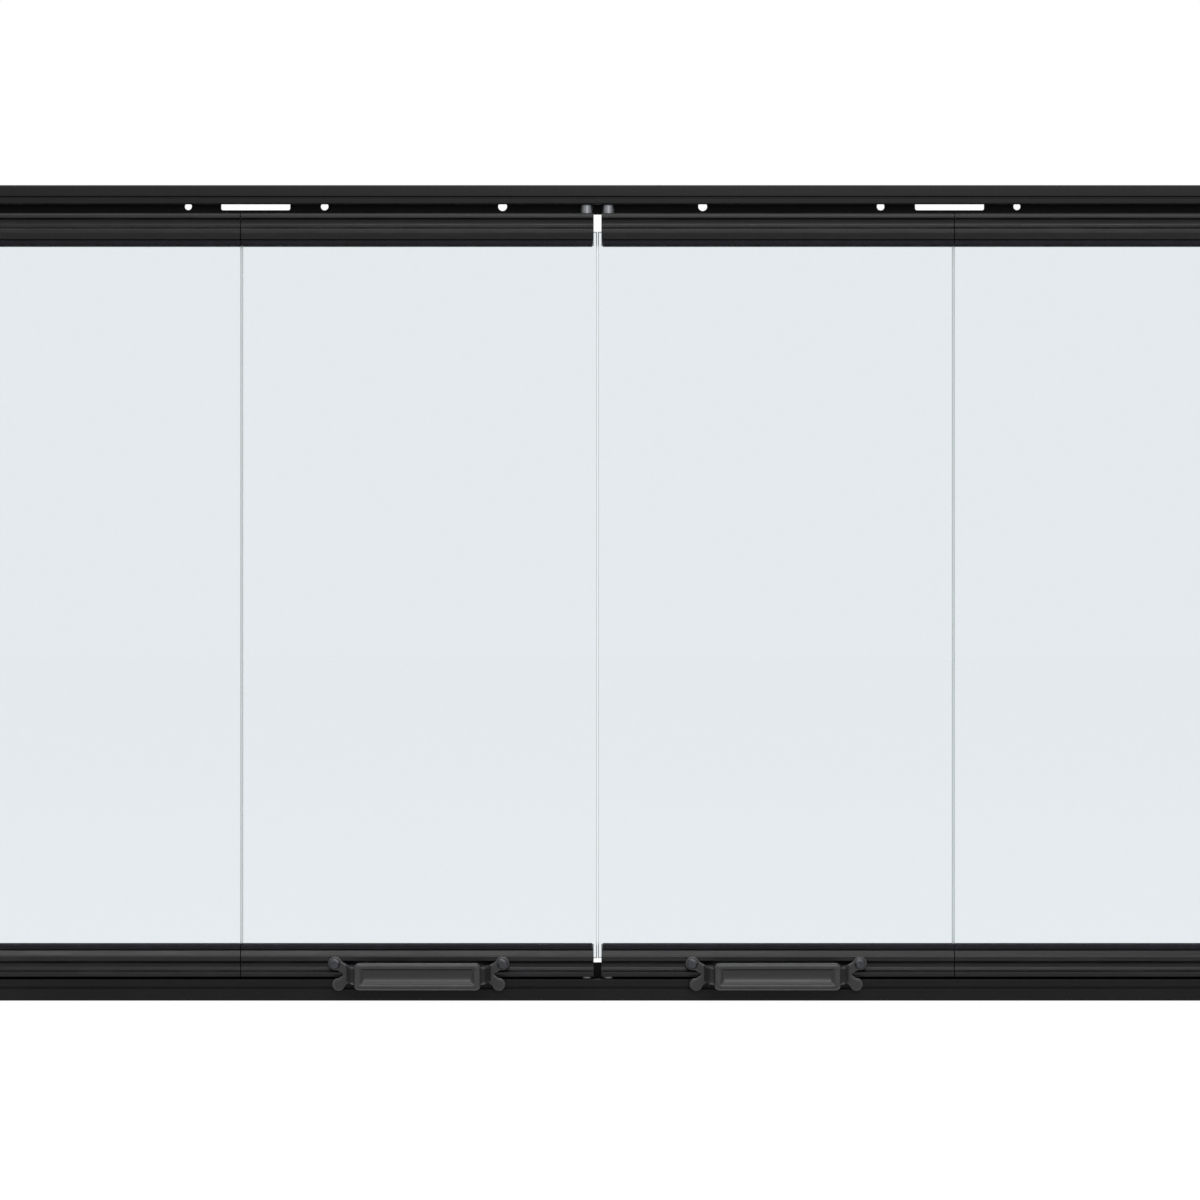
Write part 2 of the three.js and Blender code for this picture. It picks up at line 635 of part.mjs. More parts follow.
function guide(toTrack) {
  const headBase = TRACK_WALL + GUIDE_HEAD_LIFT - toTrack;
  const headTop = headBase + GUIDE_HEAD_THICKNESS;
  const shoulder = rollerTop + CLEARANCE - toTrack;
  const spindle = turned([
    [0, headBase],
    [GUIDE_HEAD_RADIUS - PIN_CHAMFER, headBase],
    [GUIDE_HEAD_RADIUS, headBase + PIN_CHAMFER],
    [GUIDE_HEAD_RADIUS, headTop],
    [GUIDE_PIN_RADIUS, headTop],
    [GUIDE_PIN_RADIUS, shoulder],
    [GUIDE_COLLAR_RADIUS, shoulder],
    [GUIDE_COLLAR_RADIUS, insertTop],
    [0, insertTop],
  ]);
  return insertBlock().add(spindle);
}

function roller(toTrack) {
  const bore = GUIDE_PIN_RADIUS + CLEARANCE;
  const outer = grooveHalf - ROLLER_PLAY;
  const [low, high] = [rollerBase - toTrack, rollerTop - toTrack];
  return turned([
    [bore, low],
    [outer - ROLLER_CHAMFER, low],
    [outer, low + ROLLER_CHAMFER],
    [outer, high - ROLLER_CHAMFER],
    [outer - ROLLER_CHAMFER, high],
    [bore, high],
    [bore, low],
  ]);
}

// ---- Hinges ----

// A stud with a domed head along y, which rivets a leaf to its rail.
function rivet(offset) {
  const faceY = leafY + LEAF_THICKNESS;
  const upright = turned(
    [
      [0, -(LEAF_THICKNESS + RIVET_LENGTH)],
      [RIVET_RADIUS, -(LEAF_THICKNESS + RIVET_LENGTH)],
      [RIVET_RADIUS, -LEAF_THICKNESS / 2],
      [RIVET_HEAD_RADIUS, -LEAF_THICKNESS / 2],
      [RIVET_HEAD_RADIUS, RIVET_HEAD_HEIGHT * 0.3],
      [RIVET_HEAD_RADIUS * 0.7, RIVET_HEAD_HEIGHT * 0.8],
      [0, RIVET_HEAD_HEIGHT],
    ],
    SMALL_SIDES,
  );
  return solidOf(geometryOf(upright).rotateX(-Math.PI / 2).translate(foldReach - offset, faceY, hingeMiddle));
}

// One riveted leaf with the knuckles whose numbers are given, 0 being the lowest.
function hingeLeaf(knuckles) {
  const plateTop = leafY + LEAF_THICKNESS;
  const plateEnd = foldReach - HINGE_BARREL_RADIUS - CLEARANCE;
  const span = [HINGE_BASE, HINGE_BASE + HINGE_HEIGHT];
  const solids = [box([foldReach - LEAF_REACH, plateEnd], [leafY, plateTop], span)];
  for (const knuckle of knuckles) {
    const low = HINGE_BASE + knuckle * (knuckleHeight + CLEARANCE);
    const height = [low, low + knuckleHeight];
    solids.push(post(HINGE_BARREL_RADIUS, height, [foldReach, hingeY]));
    solids.push(box([plateEnd - CLEARANCE, foldReach], [leafY, plateTop], height));
  }
  const bore = post(
    HINGE_PIN_RADIUS + CLEARANCE,
    [HINGE_BASE - CLEARANCE, HINGE_BASE + HINGE_HEIGHT + CLEARANCE],
    [foldReach, hingeY],
  );
  return joined([...solids, ...RIVET_OFFSETS.map(rivet)]).subtract(bore);
}

// A hinge pin with its head on top, standing on the hinge's lower end.
function hingePin() {
  const headBase = HINGE_HEIGHT + CLEARANCE;
  const pin = turned([
    [0, 0],
    [HINGE_PIN_RADIUS, 0],
    [HINGE_PIN_RADIUS, headBase],
    [HINGE_PIN_HEAD_RADIUS, headBase],
    [HINGE_PIN_HEAD_RADIUS, headBase + HINGE_PIN_HEAD_HEIGHT / 2],
    [HINGE_PIN_HEAD_RADIUS / 2, headBase + HINGE_PIN_HEAD_HEIGHT],
    [0, headBase + HINGE_PIN_HEAD_HEIGHT],
  ]);
  return moved(pin, foldReach, hingeY, 0);
}

// ---- Handles ----

// One arm of an ear's fork, from the leg out to a round lobe.
function earArm(side, offset, height, radius) {
  const root = new THREE.Vector2(ARM_ROOT_OFFSET, ARM_ROOT_HEIGHT);
  const lobe = new THREE.Vector2(offset, height);
  const along = lobe.clone().sub(root).normalize();
  const across = new THREE.Vector2(-along.y, along.x).multiplyScalar(ARM_HALF_WIDTH);
  const corners = [
    root.clone().add(across),
    root.clone().sub(across),
    lobe.clone().sub(across),
    lobe.clone().add(across),
  ];
  const strap = polygon(corners.map(({ x, y }) => [handleX + side * x, y]));
  const span = [earBack - EAR_THICKNESS, earBack];
  return plate(strap, span).add(peg(radius, span, [handleX + side * offset, height]));
}

// The leg that carries the grip's end away from the rail.
function leg(side) {
  const gripEnd = GRIP_LENGTH / 2;
  const gripBack = gripFront + GRIP_THICKNESS;
  const foot = gripEnd + LEG_SPLAY;
  const bend = earBack - EAR_THICKNESS;
  const x = (offset) => handleX + side * offset;
  const shape = new THREE.Shape();
  shape.moveTo(x(foot), earBack);
  shape.lineTo(x(foot), bend);
  shape.quadraticCurveTo(x(foot - LEG_SPLAY / 6), gripBack, x(gripEnd - GRIP_BEVEL), gripFront + GRIP_BEVEL);
  shape.lineTo(x(gripEnd - LEG_THICKNESS), gripFront + GRIP_BEVEL);
  shape.lineTo(x(gripEnd - LEG_THICKNESS), gripBack);
  shape.quadraticCurveTo(x(foot - LEG_THICKNESS - GRIP_BEVEL), gripBack, x(foot - LEG_THICKNESS), bend);
  shape.lineTo(x(foot - LEG_THICKNESS - GRIP_BEVEL), earBack);
  return prism(shape, [LEG_BASE, LEG_TOP]);
}

function handle() {
  const ends = [handleX - GRIP_LENGTH / 2, handleX + GRIP_LENGTH / 2];
  const grip = plate(
    roundedRectangle(ends, [GRIP_BASE, GRIP_TOP], GRIP_CORNER),
    [gripFront, gripFront + GRIP_THICKNESS],
    GRIP_BEVEL,
  );
  const recess = plate(
    roundedRectangle(
      [ends[0] + RECESS_MARGIN, ends[1] - RECESS_MARGIN],
      [GRIP_BASE + RECESS_MARGIN, GRIP_TOP - RECESS_MARGIN],
      GRIP_CORNER / 2,
    ),
    [gripFront - CLEARANCE, gripFront + RECESS_DEPTH],
  );
  const arms = [-1, 1].flatMap((side) => [
    leg(side),
    earArm(side, UPPER_LOBE_OFFSET, UPPER_LOBE_HEIGHT, UPPER_LOBE_RADIUS),
    earArm(side, LOWER_LOBE_OFFSET, LOWER_LOBE_HEIGHT, LOWER_LOBE_RADIUS),
  ]);
  const holes = handleScrewHoles([earBack - EAR_THICKNESS - CLEARANCE, earBack + CLEARANCE]);
  return cut(joined([grip, ...arms]), [recess, ...holes]);
}

// One handle screw, at the end of the handle that the side names.
function handleScrew(side) {
  const headY = earBack - EAR_THICKNESS - FACE_GAP;
  const length = HANDLE_SCREW_DEPTH - RAIL_FRONT - headY;
  const upright = panScrew(HANDLE_SCREW_RADIUS, length, HANDLE_SCREW_HEAD_RADIUS, HANDLE_SCREW_HEAD_HEIGHT);
  const x = handleX + side * UPPER_LOBE_OFFSET;
  return solidOf(geometryOf(upright).rotateX(Math.PI / 2).translate(x, headY, UPPER_LOBE_HEIGHT));
}

// ---- Assembly ----

function addFrame(door) {
  place(door, 'bottom_track', bottomTrack(), blackPaint);
  place(door, 'top_track', topTrack(), blackPaint, { z: OVERALL_HEIGHT, up: -1 });
  for (const [side, hand] of [['left', -1], ['right', 1]]) {
    const end = new THREE.Group();
    end.position.x = hand * pivotX;
    door.add(end);
    place(end, `bottom_pivot_block_${side}`, pivotBlock(), nylon, { hand: -hand });
    place(end, `top_pivot_block_${side}`, pivotBlock(), nylon, { z: OVERALL_HEIGHT, hand: -hand, up: -1 });
  }
}

function addOuterPanel(panel, side, hand) {
  const turn = { z: BOTTOM_RAIL_LIFT, hand };
  place(panel, `${side}_outer_glass`, glassPane(), clearGlass, turn);
  place(panel, `${side}_bottom_pivot`, bottomPivot(), zincPlate, turn);
  const over = { z: topRailZ, hand, up: -1 };
  place(panel, `${side}_top_pivot_housing`, pivotHousing(), nylon, over);
  place(panel, `${side}_pivot_spring`, pivotSpring(), springSteel, over);
  place(panel, `${side}_pivot_plunger`, plunger(), zincPlate, over);
  for (const { level, z, up } of LEVELS) {
    const pinZ = z + up * hingeMiddle - HINGE_HEIGHT / 2;
    place(panel, `${side}_outer_${level}_rail`, rail(), blackAnodised, { z, hand, up });
    place(panel, `${side}_outer_${level}_gasket`, gasket(), silicone, { z, hand, up });
    place(panel, `${side}_${level}_hinge_outer_leaf`, hingeLeaf([0, 2]), blackZinc, { z, hand, up });
    place(panel, `${side}_${level}_hinge_pin`, hingePin(), blackZinc, { z: pinZ, hand });
  }
}

function addLeadPanel(panel, side, hand) {
  const turn = { z: BOTTOM_RAIL_LIFT, hand };
  place(panel, `${side}_lead_glass`, glassPane(), clearGlass, turn);
  place(panel, `${side}_lead_bottom_rail`, handleRail(), blackAnodised, turn);
  place(panel, `${side}_lead_top_rail`, rail(), blackAnodised, { z: topRailZ, hand, up: -1 });
  place(panel, `${side}_handle`, handle(), castBlack, turn);
  place(panel, `${side}_handle_inner_screw`, handleScrew(-1), blackZinc, turn);
  place(panel, `${side}_handle_outer_screw`, handleScrew(1), blackZinc, turn);
  for (const { level, z, up, toTrack } of LEVELS) {
    place(panel, `${side}_lead_${level}_gasket`, gasket(), silicone, { z, hand, up });
    place(panel, `${side}_${level}_hinge_lead_leaf`, hingeLeaf([1]), blackZinc, { z, hand, up });
    place(panel, `${side}_${level}_guide`, guide(toTrack), zincPlate, { z, hand, up });
    place(panel, `${side}_${level}_roller`, roller(toTrack), nylon, { z, hand, up });
  }
}

function addPair(door, side, hand) {
  const pair = new THREE.Group();
  const outer = new THREE.Group();
  const lead = new THREE.Group();
  outer.position.x = hand * pivotX;
  lead.position.x = hand * guideX;
  pair.add(outer, lead);
  door.add(pair);
  addOuterPanel(outer, side, -hand);
  addLeadPanel(lead, side, hand);
}

const door = new THREE.Group();
addFrame(door);
addPair(door, 'left', -1);
addPair(door, 'right', 1);

export default door;
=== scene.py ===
"""Looks of a folding glass door for a fireplace opening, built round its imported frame.

Every piece but the panes is modelled again with rounded edges and fitted over its own plain solid. The
panes keep their solids, which already have the right shape. All lengths are in metres in the door's own
frame: X runs along the door, -Y is the room side and +Z is up.

A piece that the panels repeat is modelled once, for the station of the right lead panel at the bottom, and
copied from there to the other stations by turning it over in x, in z, or in both.
"""

from __future__ import annotations

import json
import logging
import math
from collections.abc import Iterable, Sequence
from dataclasses import dataclass
from enum import Enum
from itertools import product

import bpy
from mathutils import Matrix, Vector


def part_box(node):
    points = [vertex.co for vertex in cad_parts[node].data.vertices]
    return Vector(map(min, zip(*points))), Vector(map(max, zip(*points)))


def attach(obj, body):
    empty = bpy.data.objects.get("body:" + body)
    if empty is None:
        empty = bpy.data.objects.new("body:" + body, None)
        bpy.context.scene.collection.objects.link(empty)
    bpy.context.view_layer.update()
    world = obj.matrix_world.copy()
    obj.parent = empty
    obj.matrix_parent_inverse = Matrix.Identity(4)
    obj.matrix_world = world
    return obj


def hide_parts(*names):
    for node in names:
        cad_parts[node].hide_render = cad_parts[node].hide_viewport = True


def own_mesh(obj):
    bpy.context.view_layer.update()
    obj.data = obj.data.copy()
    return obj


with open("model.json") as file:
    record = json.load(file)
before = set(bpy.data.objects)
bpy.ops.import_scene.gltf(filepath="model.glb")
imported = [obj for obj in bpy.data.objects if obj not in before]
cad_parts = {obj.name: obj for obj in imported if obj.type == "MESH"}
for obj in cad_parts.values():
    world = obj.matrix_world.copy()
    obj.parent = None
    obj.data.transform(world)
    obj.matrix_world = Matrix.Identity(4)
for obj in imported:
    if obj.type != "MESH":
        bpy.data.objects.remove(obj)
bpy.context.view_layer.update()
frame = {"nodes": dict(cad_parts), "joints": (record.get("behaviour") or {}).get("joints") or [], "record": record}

LOG = logging.getLogger("fireplace_door")
MM = 0.001

Piece = bpy.types.Object
Tree = bpy.types.NodeTree
Node = bpy.types.Node
Socket = bpy.types.NodeSocket

PHOTO_PIXELS = 1200
PHOTO_CENTRE_X = 597.5  # the column of the door's middle
PHOTO_BOTTOM_Y = 1001.5  # the row of the door's underside
MM_PER_PIXEL = 0.64
CAMERA_DISTANCE = 2500 * MM
SENSOR_WIDTH = 36.0
NEAREST_SEEN = 50 * MM
DOOR_MIDDLE = 260 * MM  # the height that the lamps face
WHITE = "#ffffff"

DOUBLES = 0.002 * MM  # vertices closer than this are one
PAST = 1 * MM  # how far a cutter reaches past what it cuts
MIX_A, MIX_B, MIX_OUT = 6, 7, 2  # the colour sockets of a Mix node
ROUGH_SPAN = {"From Min": 0.3, "From Max": 0.7}  # the part of a noise that moves the roughness
TINT_SPAN = {"From Min": 0.45, "From Max": 0.75}  # the part that moves the colour


class Hand(Enum):
    """The side of the door that a pair of panels closes."""

    LEFT = -1
    RIGHT = 1


class Panel(Enum):
    """A panel of a pair: the lead panel meets the middle of the door, the outer one turns on the pivots."""

    LEAD = "lead"
    OUTER = "outer"


class Level(Enum):
    """The end of a panel that a piece belongs to."""

    BOTTOM = 1
    TOP = -1


class Cut(Enum):
    """How a second shape changes the first one."""

    JOIN = "UNION"
    REMOVE = "DIFFERENCE"


# ---- Working on meshes ----


def deselect() -> None:
    """Leaves object mode with nothing selected."""
    if bpy.context.mode != "OBJECT":
        bpy.ops.object.mode_set(mode="OBJECT")
    bpy.ops.object.select_all(action="DESELECT")


def activate(piece: Piece) -> None:
    """Makes one object the only one selected.

    Args:
        piece: The object.
    """
    deselect()
    piece.select_set(True)
    bpy.context.view_layer.objects.active = piece


def settle(name: str) -> Piece:
    """Names the newest primitive and moves its place into its mesh.

    Args:
        name: The name that it gets.

    Returns:
        The object, at the origin, unturned and unscaled.
    """
    piece = bpy.context.object
    piece.name = name
    piece.data.name = name
    bpy.ops.object.transform_apply(location=True, rotation=True, scale=True)
    return piece


def block(name: str, low: Sequence[float], high: Sequence[float]) -> Piece:
    """Adds a box.

    Args:
        name: The new object's name.
        low: Its lowest corner.
        high: Its highest corner.

    Returns:
        The box.
    """
    deselect()
    middle = (Vector(low) + Vector(high)) / 2
    bpy.ops.mesh.primitive_cube_add(size=1, location=middle, scale=Vector(high) - Vector(low))
    return settle(name)


def rod(name: str, radius: float, start: Sequence[float], end: Sequence[float], sides: int = 48) -> Piece:
    """Adds a round bar between two points.

    Args:
        name: The new object's name.
        radius: The bar's radius.
        start: The middle of its first end.
        end: The middle of its other end.
        sides: How many flats make it round.

    Returns:
        The bar.
    """
    deselect()
    run = Vector(end) - Vector(start)
    bpy.ops.mesh.primitive_cylinder_add(
        vertices=sides,
        radius=radius,
        depth=run.length,
        location=(Vector(start) + Vector(end)) / 2,
        rotation=run.to_track_quat("Z", "Y").to_euler(),
    )
    return settle(name)


def chain(name: str, points: Sequence[Vector]) -> Piece:
    """Draws a line of edges, vertex by vertex, and stays in edit mode with all of it selected.

    Args:
        name: The new object's name.
        points: The line's points.

    Returns:
        The line.
    """
    deselect()
    bpy.ops.mesh.primitive_plane_add(size=MM, location=points[0])
    piece = settle(name)
    bpy.ops.object.mode_set(mode="EDIT")
    bpy.ops.mesh.select_mode(type="VERT")
    bpy.ops.mesh.select_all(action="SELECT")
    bpy.ops.mesh.merge(type="CENTER")
    for here, there in zip(points, points[1:]):
        bpy.ops.mesh.extrude_region_move(TRANSFORM_OT_translate={"value": there - here})
    bpy.ops.mesh.select_all(action="SELECT")
    return piece


def drawn(name: str, outline: Sequence[Vector], run: Vector) -> Piece:
    """Draws an outline, fills it and extrudes it into a bar.

    Args:
        name: The new object's name.
        outline: The corners of the outline, in order.
        run: The way and the length of the extrusion.

    Returns:
        The bar.
    """
    piece = chain(name, outline)
    bpy.ops.mesh.edge_face_add()
    bpy.ops.mesh.extrude_region_move(TRANSFORM_OT_translate={"value": run})
    face_outwards()
    return piece


def turned(name: str, profile: Sequence[tuple[float, float]], foot: Sequence[float], axis: Vector,
           sides: int = 48) -> Piece:
    """Spins a profile about an axis.

    Args:
        name: The new object's name.
        profile: Pairs of radius and height along the axis.
        foot: The point of the axis at height 0.
        axis: The axis's direction, along Y or Z.
        sides: How many steps the spin takes.

    Returns:
        The turned piece.
    """
    foot = Vector(foot)
    points = [foot + Vector((radius, 0, 0)) + axis * height for radius, height in profile]
    piece = chain(name, points)
    bpy.ops.mesh.spin(steps=sides, angle=2 * math.pi, center=foot, axis=axis)
    face_outwards()
    return piece


def face_outwards() -> None:
    """Merges doubles of the mesh in edit mode, turns its faces outwards and returns to object mode."""
    bpy.ops.mesh.select_all(action="SELECT")
    bpy.ops.mesh.remove_doubles(threshold=DOUBLES)
    bpy.ops.mesh.normals_make_consistent(inside=False)
    bpy.ops.object.mode_set(mode="OBJECT")


def apply_modifier(piece: Piece, kind: str, **settings: object) -> None:
    """Adds a modifier to a piece and applies it at once.

    Args:
        piece: The object to change.
        kind: The modifier's type.
        **settings: The modifier's own settings.
    """
    activate(piece)
    modifier = piece.modifiers.new(kind.lower(), kind)
    for name, value in settings.items():
        setattr(modifier, name, value)
    bpy.ops.object.modifier_apply(modifier=modifier.name)


def carve(piece: Piece, tools: Iterable[Piece], cut: Cut = Cut.REMOVE) -> Piece:
    """Cuts other shapes out of a piece, or joins them to it, and uses them up.

    Args:
        piece: The object to change.
        tools: The other shapes.
        cut: Whether they are removed or joined.

    Returns:
        The changed piece.
    """
    for tool in tools:
        apply_modifier(piece, "BOOLEAN", operation=cut.value, object=tool, solver="EXACT")
        discard(tool)
    return piece


def discard(piece: Piece) -> None:
    """Deletes a piece and its mesh.

    Args:
        piece: The object to delete.
    """
    mesh = piece.data
    bpy.data.objects.remove(piece)
    bpy.data.meshes.remove(mesh)


def soften(piece: Piece, width: float, segments: int = 2, angle: float = 35) -> Piece:
    """Rounds the edges of a piece that are sharper than an angle.

    Args:
        piece: The object to change.
        width: How wide the rounding is.
        segments: How many strips it has.
        angle: The least angle in degrees at which an edge is rounded.

    Returns:
        The changed piece.
    """
    apply_modifier(
        piece,
        "BEVEL",
        width=width,
        segments=segments,
        limit_method="ANGLE",
        angle_limit=math.radians(angle),
        miter_outer="MITER_ARC",
        harden_normals=False,
    )
    return piece


def smooth(piece: Piece, angle: float = 32) -> None:
    """Shades a piece smooth up to an angle in degrees, with its flat faces kept flat.

    Args:
        piece: The object to shade.
        angle: The greatest angle in degrees that is shaded smooth.
    """
    activate(piece)
    bpy.ops.object.shade_smooth_by_angle(angle=math.radians(angle))
    apply_modifier(piece, "WEIGHTED_NORMAL", keep_sharp=True, weight=80)


def rounded(corners: Sequence[tuple[float, float, float]], steps: int = 4) -> list[tuple[float, float]]:
    """Replaces the corners of a closed outline with arcs.

    Args:
        corners: Two coordinates and the radius of each corner, 0 for a sharp one.
        steps: How many edges each arc has.

    Returns:
        The points of the rounded outline.
    """
    points: list[tuple[float, float]] = []
    count = len(corners)
    for i, (a, b, radius) in enumerate(corners):
        here = Vector((a, b))
        if radius <= 0:
            points.append((a, b))
            continue
        back = (Vector(corners[i - 1][:2]) - here).normalized()
        ahead = (Vector(corners[(i + 1) % count][:2]) - here).normalized()
        half = back.angle(ahead) / 2
        middle = here + (back + ahead).normalized() * (radius / math.sin(half))
        first = here + back * (radius / math.tan(half)) - middle
        last = here + ahead * (radius / math.tan(half)) - middle
        for step in range(steps + 1):
            spoke = first.slerp(last, step / steps)
            points.append(tuple(middle + spoke.normalized() * radius))
    return points


# ---- Where the pieces go ----


@dataclass(frozen=True)
class Seat:
    """The turning over that takes a piece from the right lead panel's bottom to its own station.

    Attributes:
        turn_x: -1 where it is turned over in x, or else 1.
        shift_x: How far it is then moved in x.
        turn_z: -1 where it is turned over in z, or else 1.
        shift_z: How far it is then moved in z.
    """

    turn_x: int = 1
    shift_x: float = 0.0
    turn_z: int = 1
    shift_z: float = 0.0


@dataclass(frozen=True)
class Stations:
    """The lines of the frame that all pieces are placed by.

    Attributes:
        guide_x: The axis of the right guides.
        fold_x: The x of the right fold's axis.
        fold_y: Its y.
        rail_low: The underside of the bottom rails.
        rail_high: The top of the top rails.
    """

    guide_x: float
    fold_x: float
    fold_y: float
    rail_low: float
    rail_high: float

    @classmethod
    def from_frame(cls) -> Stations:
        """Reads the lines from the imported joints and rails.

        Returns:
            The lines of this door.
        """
        joints = {joint["name"]: joint["pos_m"] for joint in frame["joints"] if "pos_m" in joint}
        return cls(
            guide_x=joints["right_bottom_roller_spin"][0],
            fold_x=joints["right_fold_turn"][0],
            fold_y=joints["right_fold_turn"][1],
            rail_low=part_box("right_lead_bottom_rail")[0].z,
            rail_high=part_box("right_lead_top_rail")[1].z,
        )

    def seat(self, hand: Hand, panel: Panel, level: Level) -> Seat:
        """Finds how a piece is turned over to reach a station.

        Args:
            hand: The station's side of the door.
            panel: The panel that it belongs to.
            level: The end of that panel.

        Returns:
            The turning over, first in x and then in z.
        """
        outer = panel is Panel.OUTER
        turn_x = -hand.value if outer else hand.value
        shift_x = hand.value * 2 * self.fold_x if outer else 0.0
        shift_z = self.rail_low + self.rail_high if level is Level.TOP else 0.0
        return Seat(turn_x, shift_x, level.value, shift_z)


def seated(master: Piece, name: str, seat: Seat) -> Piece:
    """Copies a master to its station, with a mesh of its own.

    Args:
        master: The piece as it was modelled.
        name: The copy's name.
        seat: Where the copy goes.

    Returns:
        The copy, shaded smooth.
    """
    activate(master)
    bpy.ops.object.duplicate(linked=False)
    copy = bpy.context.object
    copy.scale = (seat.turn_x, 1, seat.turn_z)
    copy.location = (seat.shift_x, 0, seat.shift_z)
    settle(name)
    bpy.ops.object.mode_set(mode="EDIT")
    bpy.ops.mesh.select_all(action="SELECT")
    bpy.ops.mesh.normals_make_consistent(inside=False)
    bpy.ops.object.mode_set(mode="OBJECT")
    smooth(copy)
    return copy


# ---- Finishes ----


def linear(hex_colour: str) -> tuple[float, float, float, float]:
    """Turns an sRGB hex colour such as "#1c1c1e" to linear red, green, blue and alpha.

    Args:
        hex_colour: The sRGB colour.

    Returns:
        The linear colour, with an alpha of 1.
    """
    channels = [int(hex_colour[i:i + 2], 16) / 255 for i in (1, 3, 5)]
    red, green, blue = (c / 12.92 if c <= 0.04045 else ((c + 0.055) / 1.055) ** 2.4 for c in channels)
    return (red, green, blue, 1.0)


def add_node(tree: Tree, kind: str, settings: dict[str, object] | None = None,
             links: dict[str, Socket] | None = None) -> Node:
    """Adds a node with its settings and its incoming links.

    Args:
        tree: The node tree.
        kind: The node's type, without its ShaderNode prefix.
        settings: Values of its inputs, or of its own properties where no input has that name.
        links: Sockets that its inputs are fed from.

    Returns:
        The node.
    """
    node = tree.nodes.new("ShaderNode" + kind)
    for name, value in (settings or {}).items():
        if name in node.inputs:
            node.inputs[name].default_value = value
        else:
            setattr(node, name, value)
    for name, source in (links or {}).items():
        tree.links.new(source, node.inputs[name])
    return node


@dataclass(frozen=True)
class Finish:
    """A plain finish. Its subclasses add the pattern that their surface has.

    Attributes:
        slot: The record's material slot that it fills.
        real: What the real material is, which names the material.
        colour: Its sRGB hex colour.
        roughness: Its roughness, before the pattern moves it.
        metallic: 1 for bare metal, less where a coat covers part of it.
        specular: The level of its sheen, 0.5 being the usual one.
    """

    slot: str
    real: str
    colour: str
    roughness: float
    metallic: float = 0.0
    specular: float = 0.5

    def make(self) -> bpy.types.Material:
        """Makes the material, named for the real one.

        Returns:
            The material.
        """
        material = bpy.data.materials.new(self.real)
        material.use_nodes = True
        tree = material.node_tree
        shader = tree.nodes["Principled BSDF"]
        shader.inputs["Base Color"].default_value = linear(self.colour)
        shader.inputs["Roughness"].default_value = self.roughness
        shader.inputs["Metallic"].default_value = self.metallic
        shader.inputs["Specular IOR Level"].default_value = self.specular
        place = add_node(tree, "TexCoord").outputs["Object"]
        self.pattern(tree, place, shader)
        return material

    def pattern(self, tree: Tree, place: Socket, shader: Node) -> None:
        """Adds what makes the surface more than one flat colour; a plain finish adds nothing.

        Args:
            tree: The node tree.
            place: The object coordinates.
            shader: The shader that is fed.
        """

    def vary(self, tree: Tree, grain: Socket, shader: Node, spread: float, light: str, share: float) -> None:
        """Lets a grain change the roughness and the colour.

        Args:
            tree: The node tree.
            grain: A pattern from 0 to 1.
            shader: The shader that is fed.
            spread: How far the roughness moves to either side.
            light: The colour that the grain moves towards.
            share: How far it moves towards it.
        """
        ends = {"To Min": self.roughness - spread, "To Max": self.roughness + spread}
        rough = add_node(tree, "MapRange", {**ROUGH_SPAN, **ends}, {"Value": grain})
        tree.links.new(rough.outputs["Result"], shader.inputs["Roughness"])
        amount = add_node(tree, "MapRange", {**TINT_SPAN, "To Max": share}, {"Value": grain})
        mix = add_node(tree, "Mix", {"data_type": "RGBA"}, {"Factor": amount.outputs["Result"]})
        mix.inputs[MIX_A].default_value = linear(self.colour)
        mix.inputs[MIX_B].default_value = linear(light)
        tree.links.new(mix.outputs[MIX_OUT], shader.inputs["Base Color"])


def bump(tree: Tree, height: Socket, shader: Node, depth: float, strength: float) -> None:
    """Raises a surface by a height pattern.

    Args:
        tree: The node tree.
        height: A pattern from 0 to 1.
        shader: The shader whose normal is fed.
        depth: How high the pattern stands, in metres.
        strength: The share of it that shows.
    """
    node = add_node(tree, "Bump", {"Strength": strength, "Distance": depth}, {"Height": height})
    tree.links.new(node.outputs["Normal"], shader.inputs["Normal"])


class SatinPaint(Finish):
    """Black baked enamel, sprayed on rolled steel: an even satin with an orange peel and handling marks."""

    marks = 40 * MM
    peel = 1.4 * MM

    def pattern(self, tree: Tree, place: Socket, shader: Node) -> None:
        """Adds the handling marks and the orange peel.

        Args:
            tree: The node tree.
            place: The object coordinates.
            shader: The shader that is fed.
        """
        marks = add_node(tree, "TexNoise", {"Scale": 1 / self.marks, "Detail": 6.0}, {"Vector": place})
        peel = add_node(tree, "TexNoise", {"Scale": 1 / self.peel, "Detail": 2.0}, {"Vector": place})
        self.vary(tree, marks.outputs["Fac"], shader, spread=0.05, light="#18181a", share=0.6)
        bump(tree, peel.outputs["Fac"], shader, depth=0.03 * MM, strength=0.5)


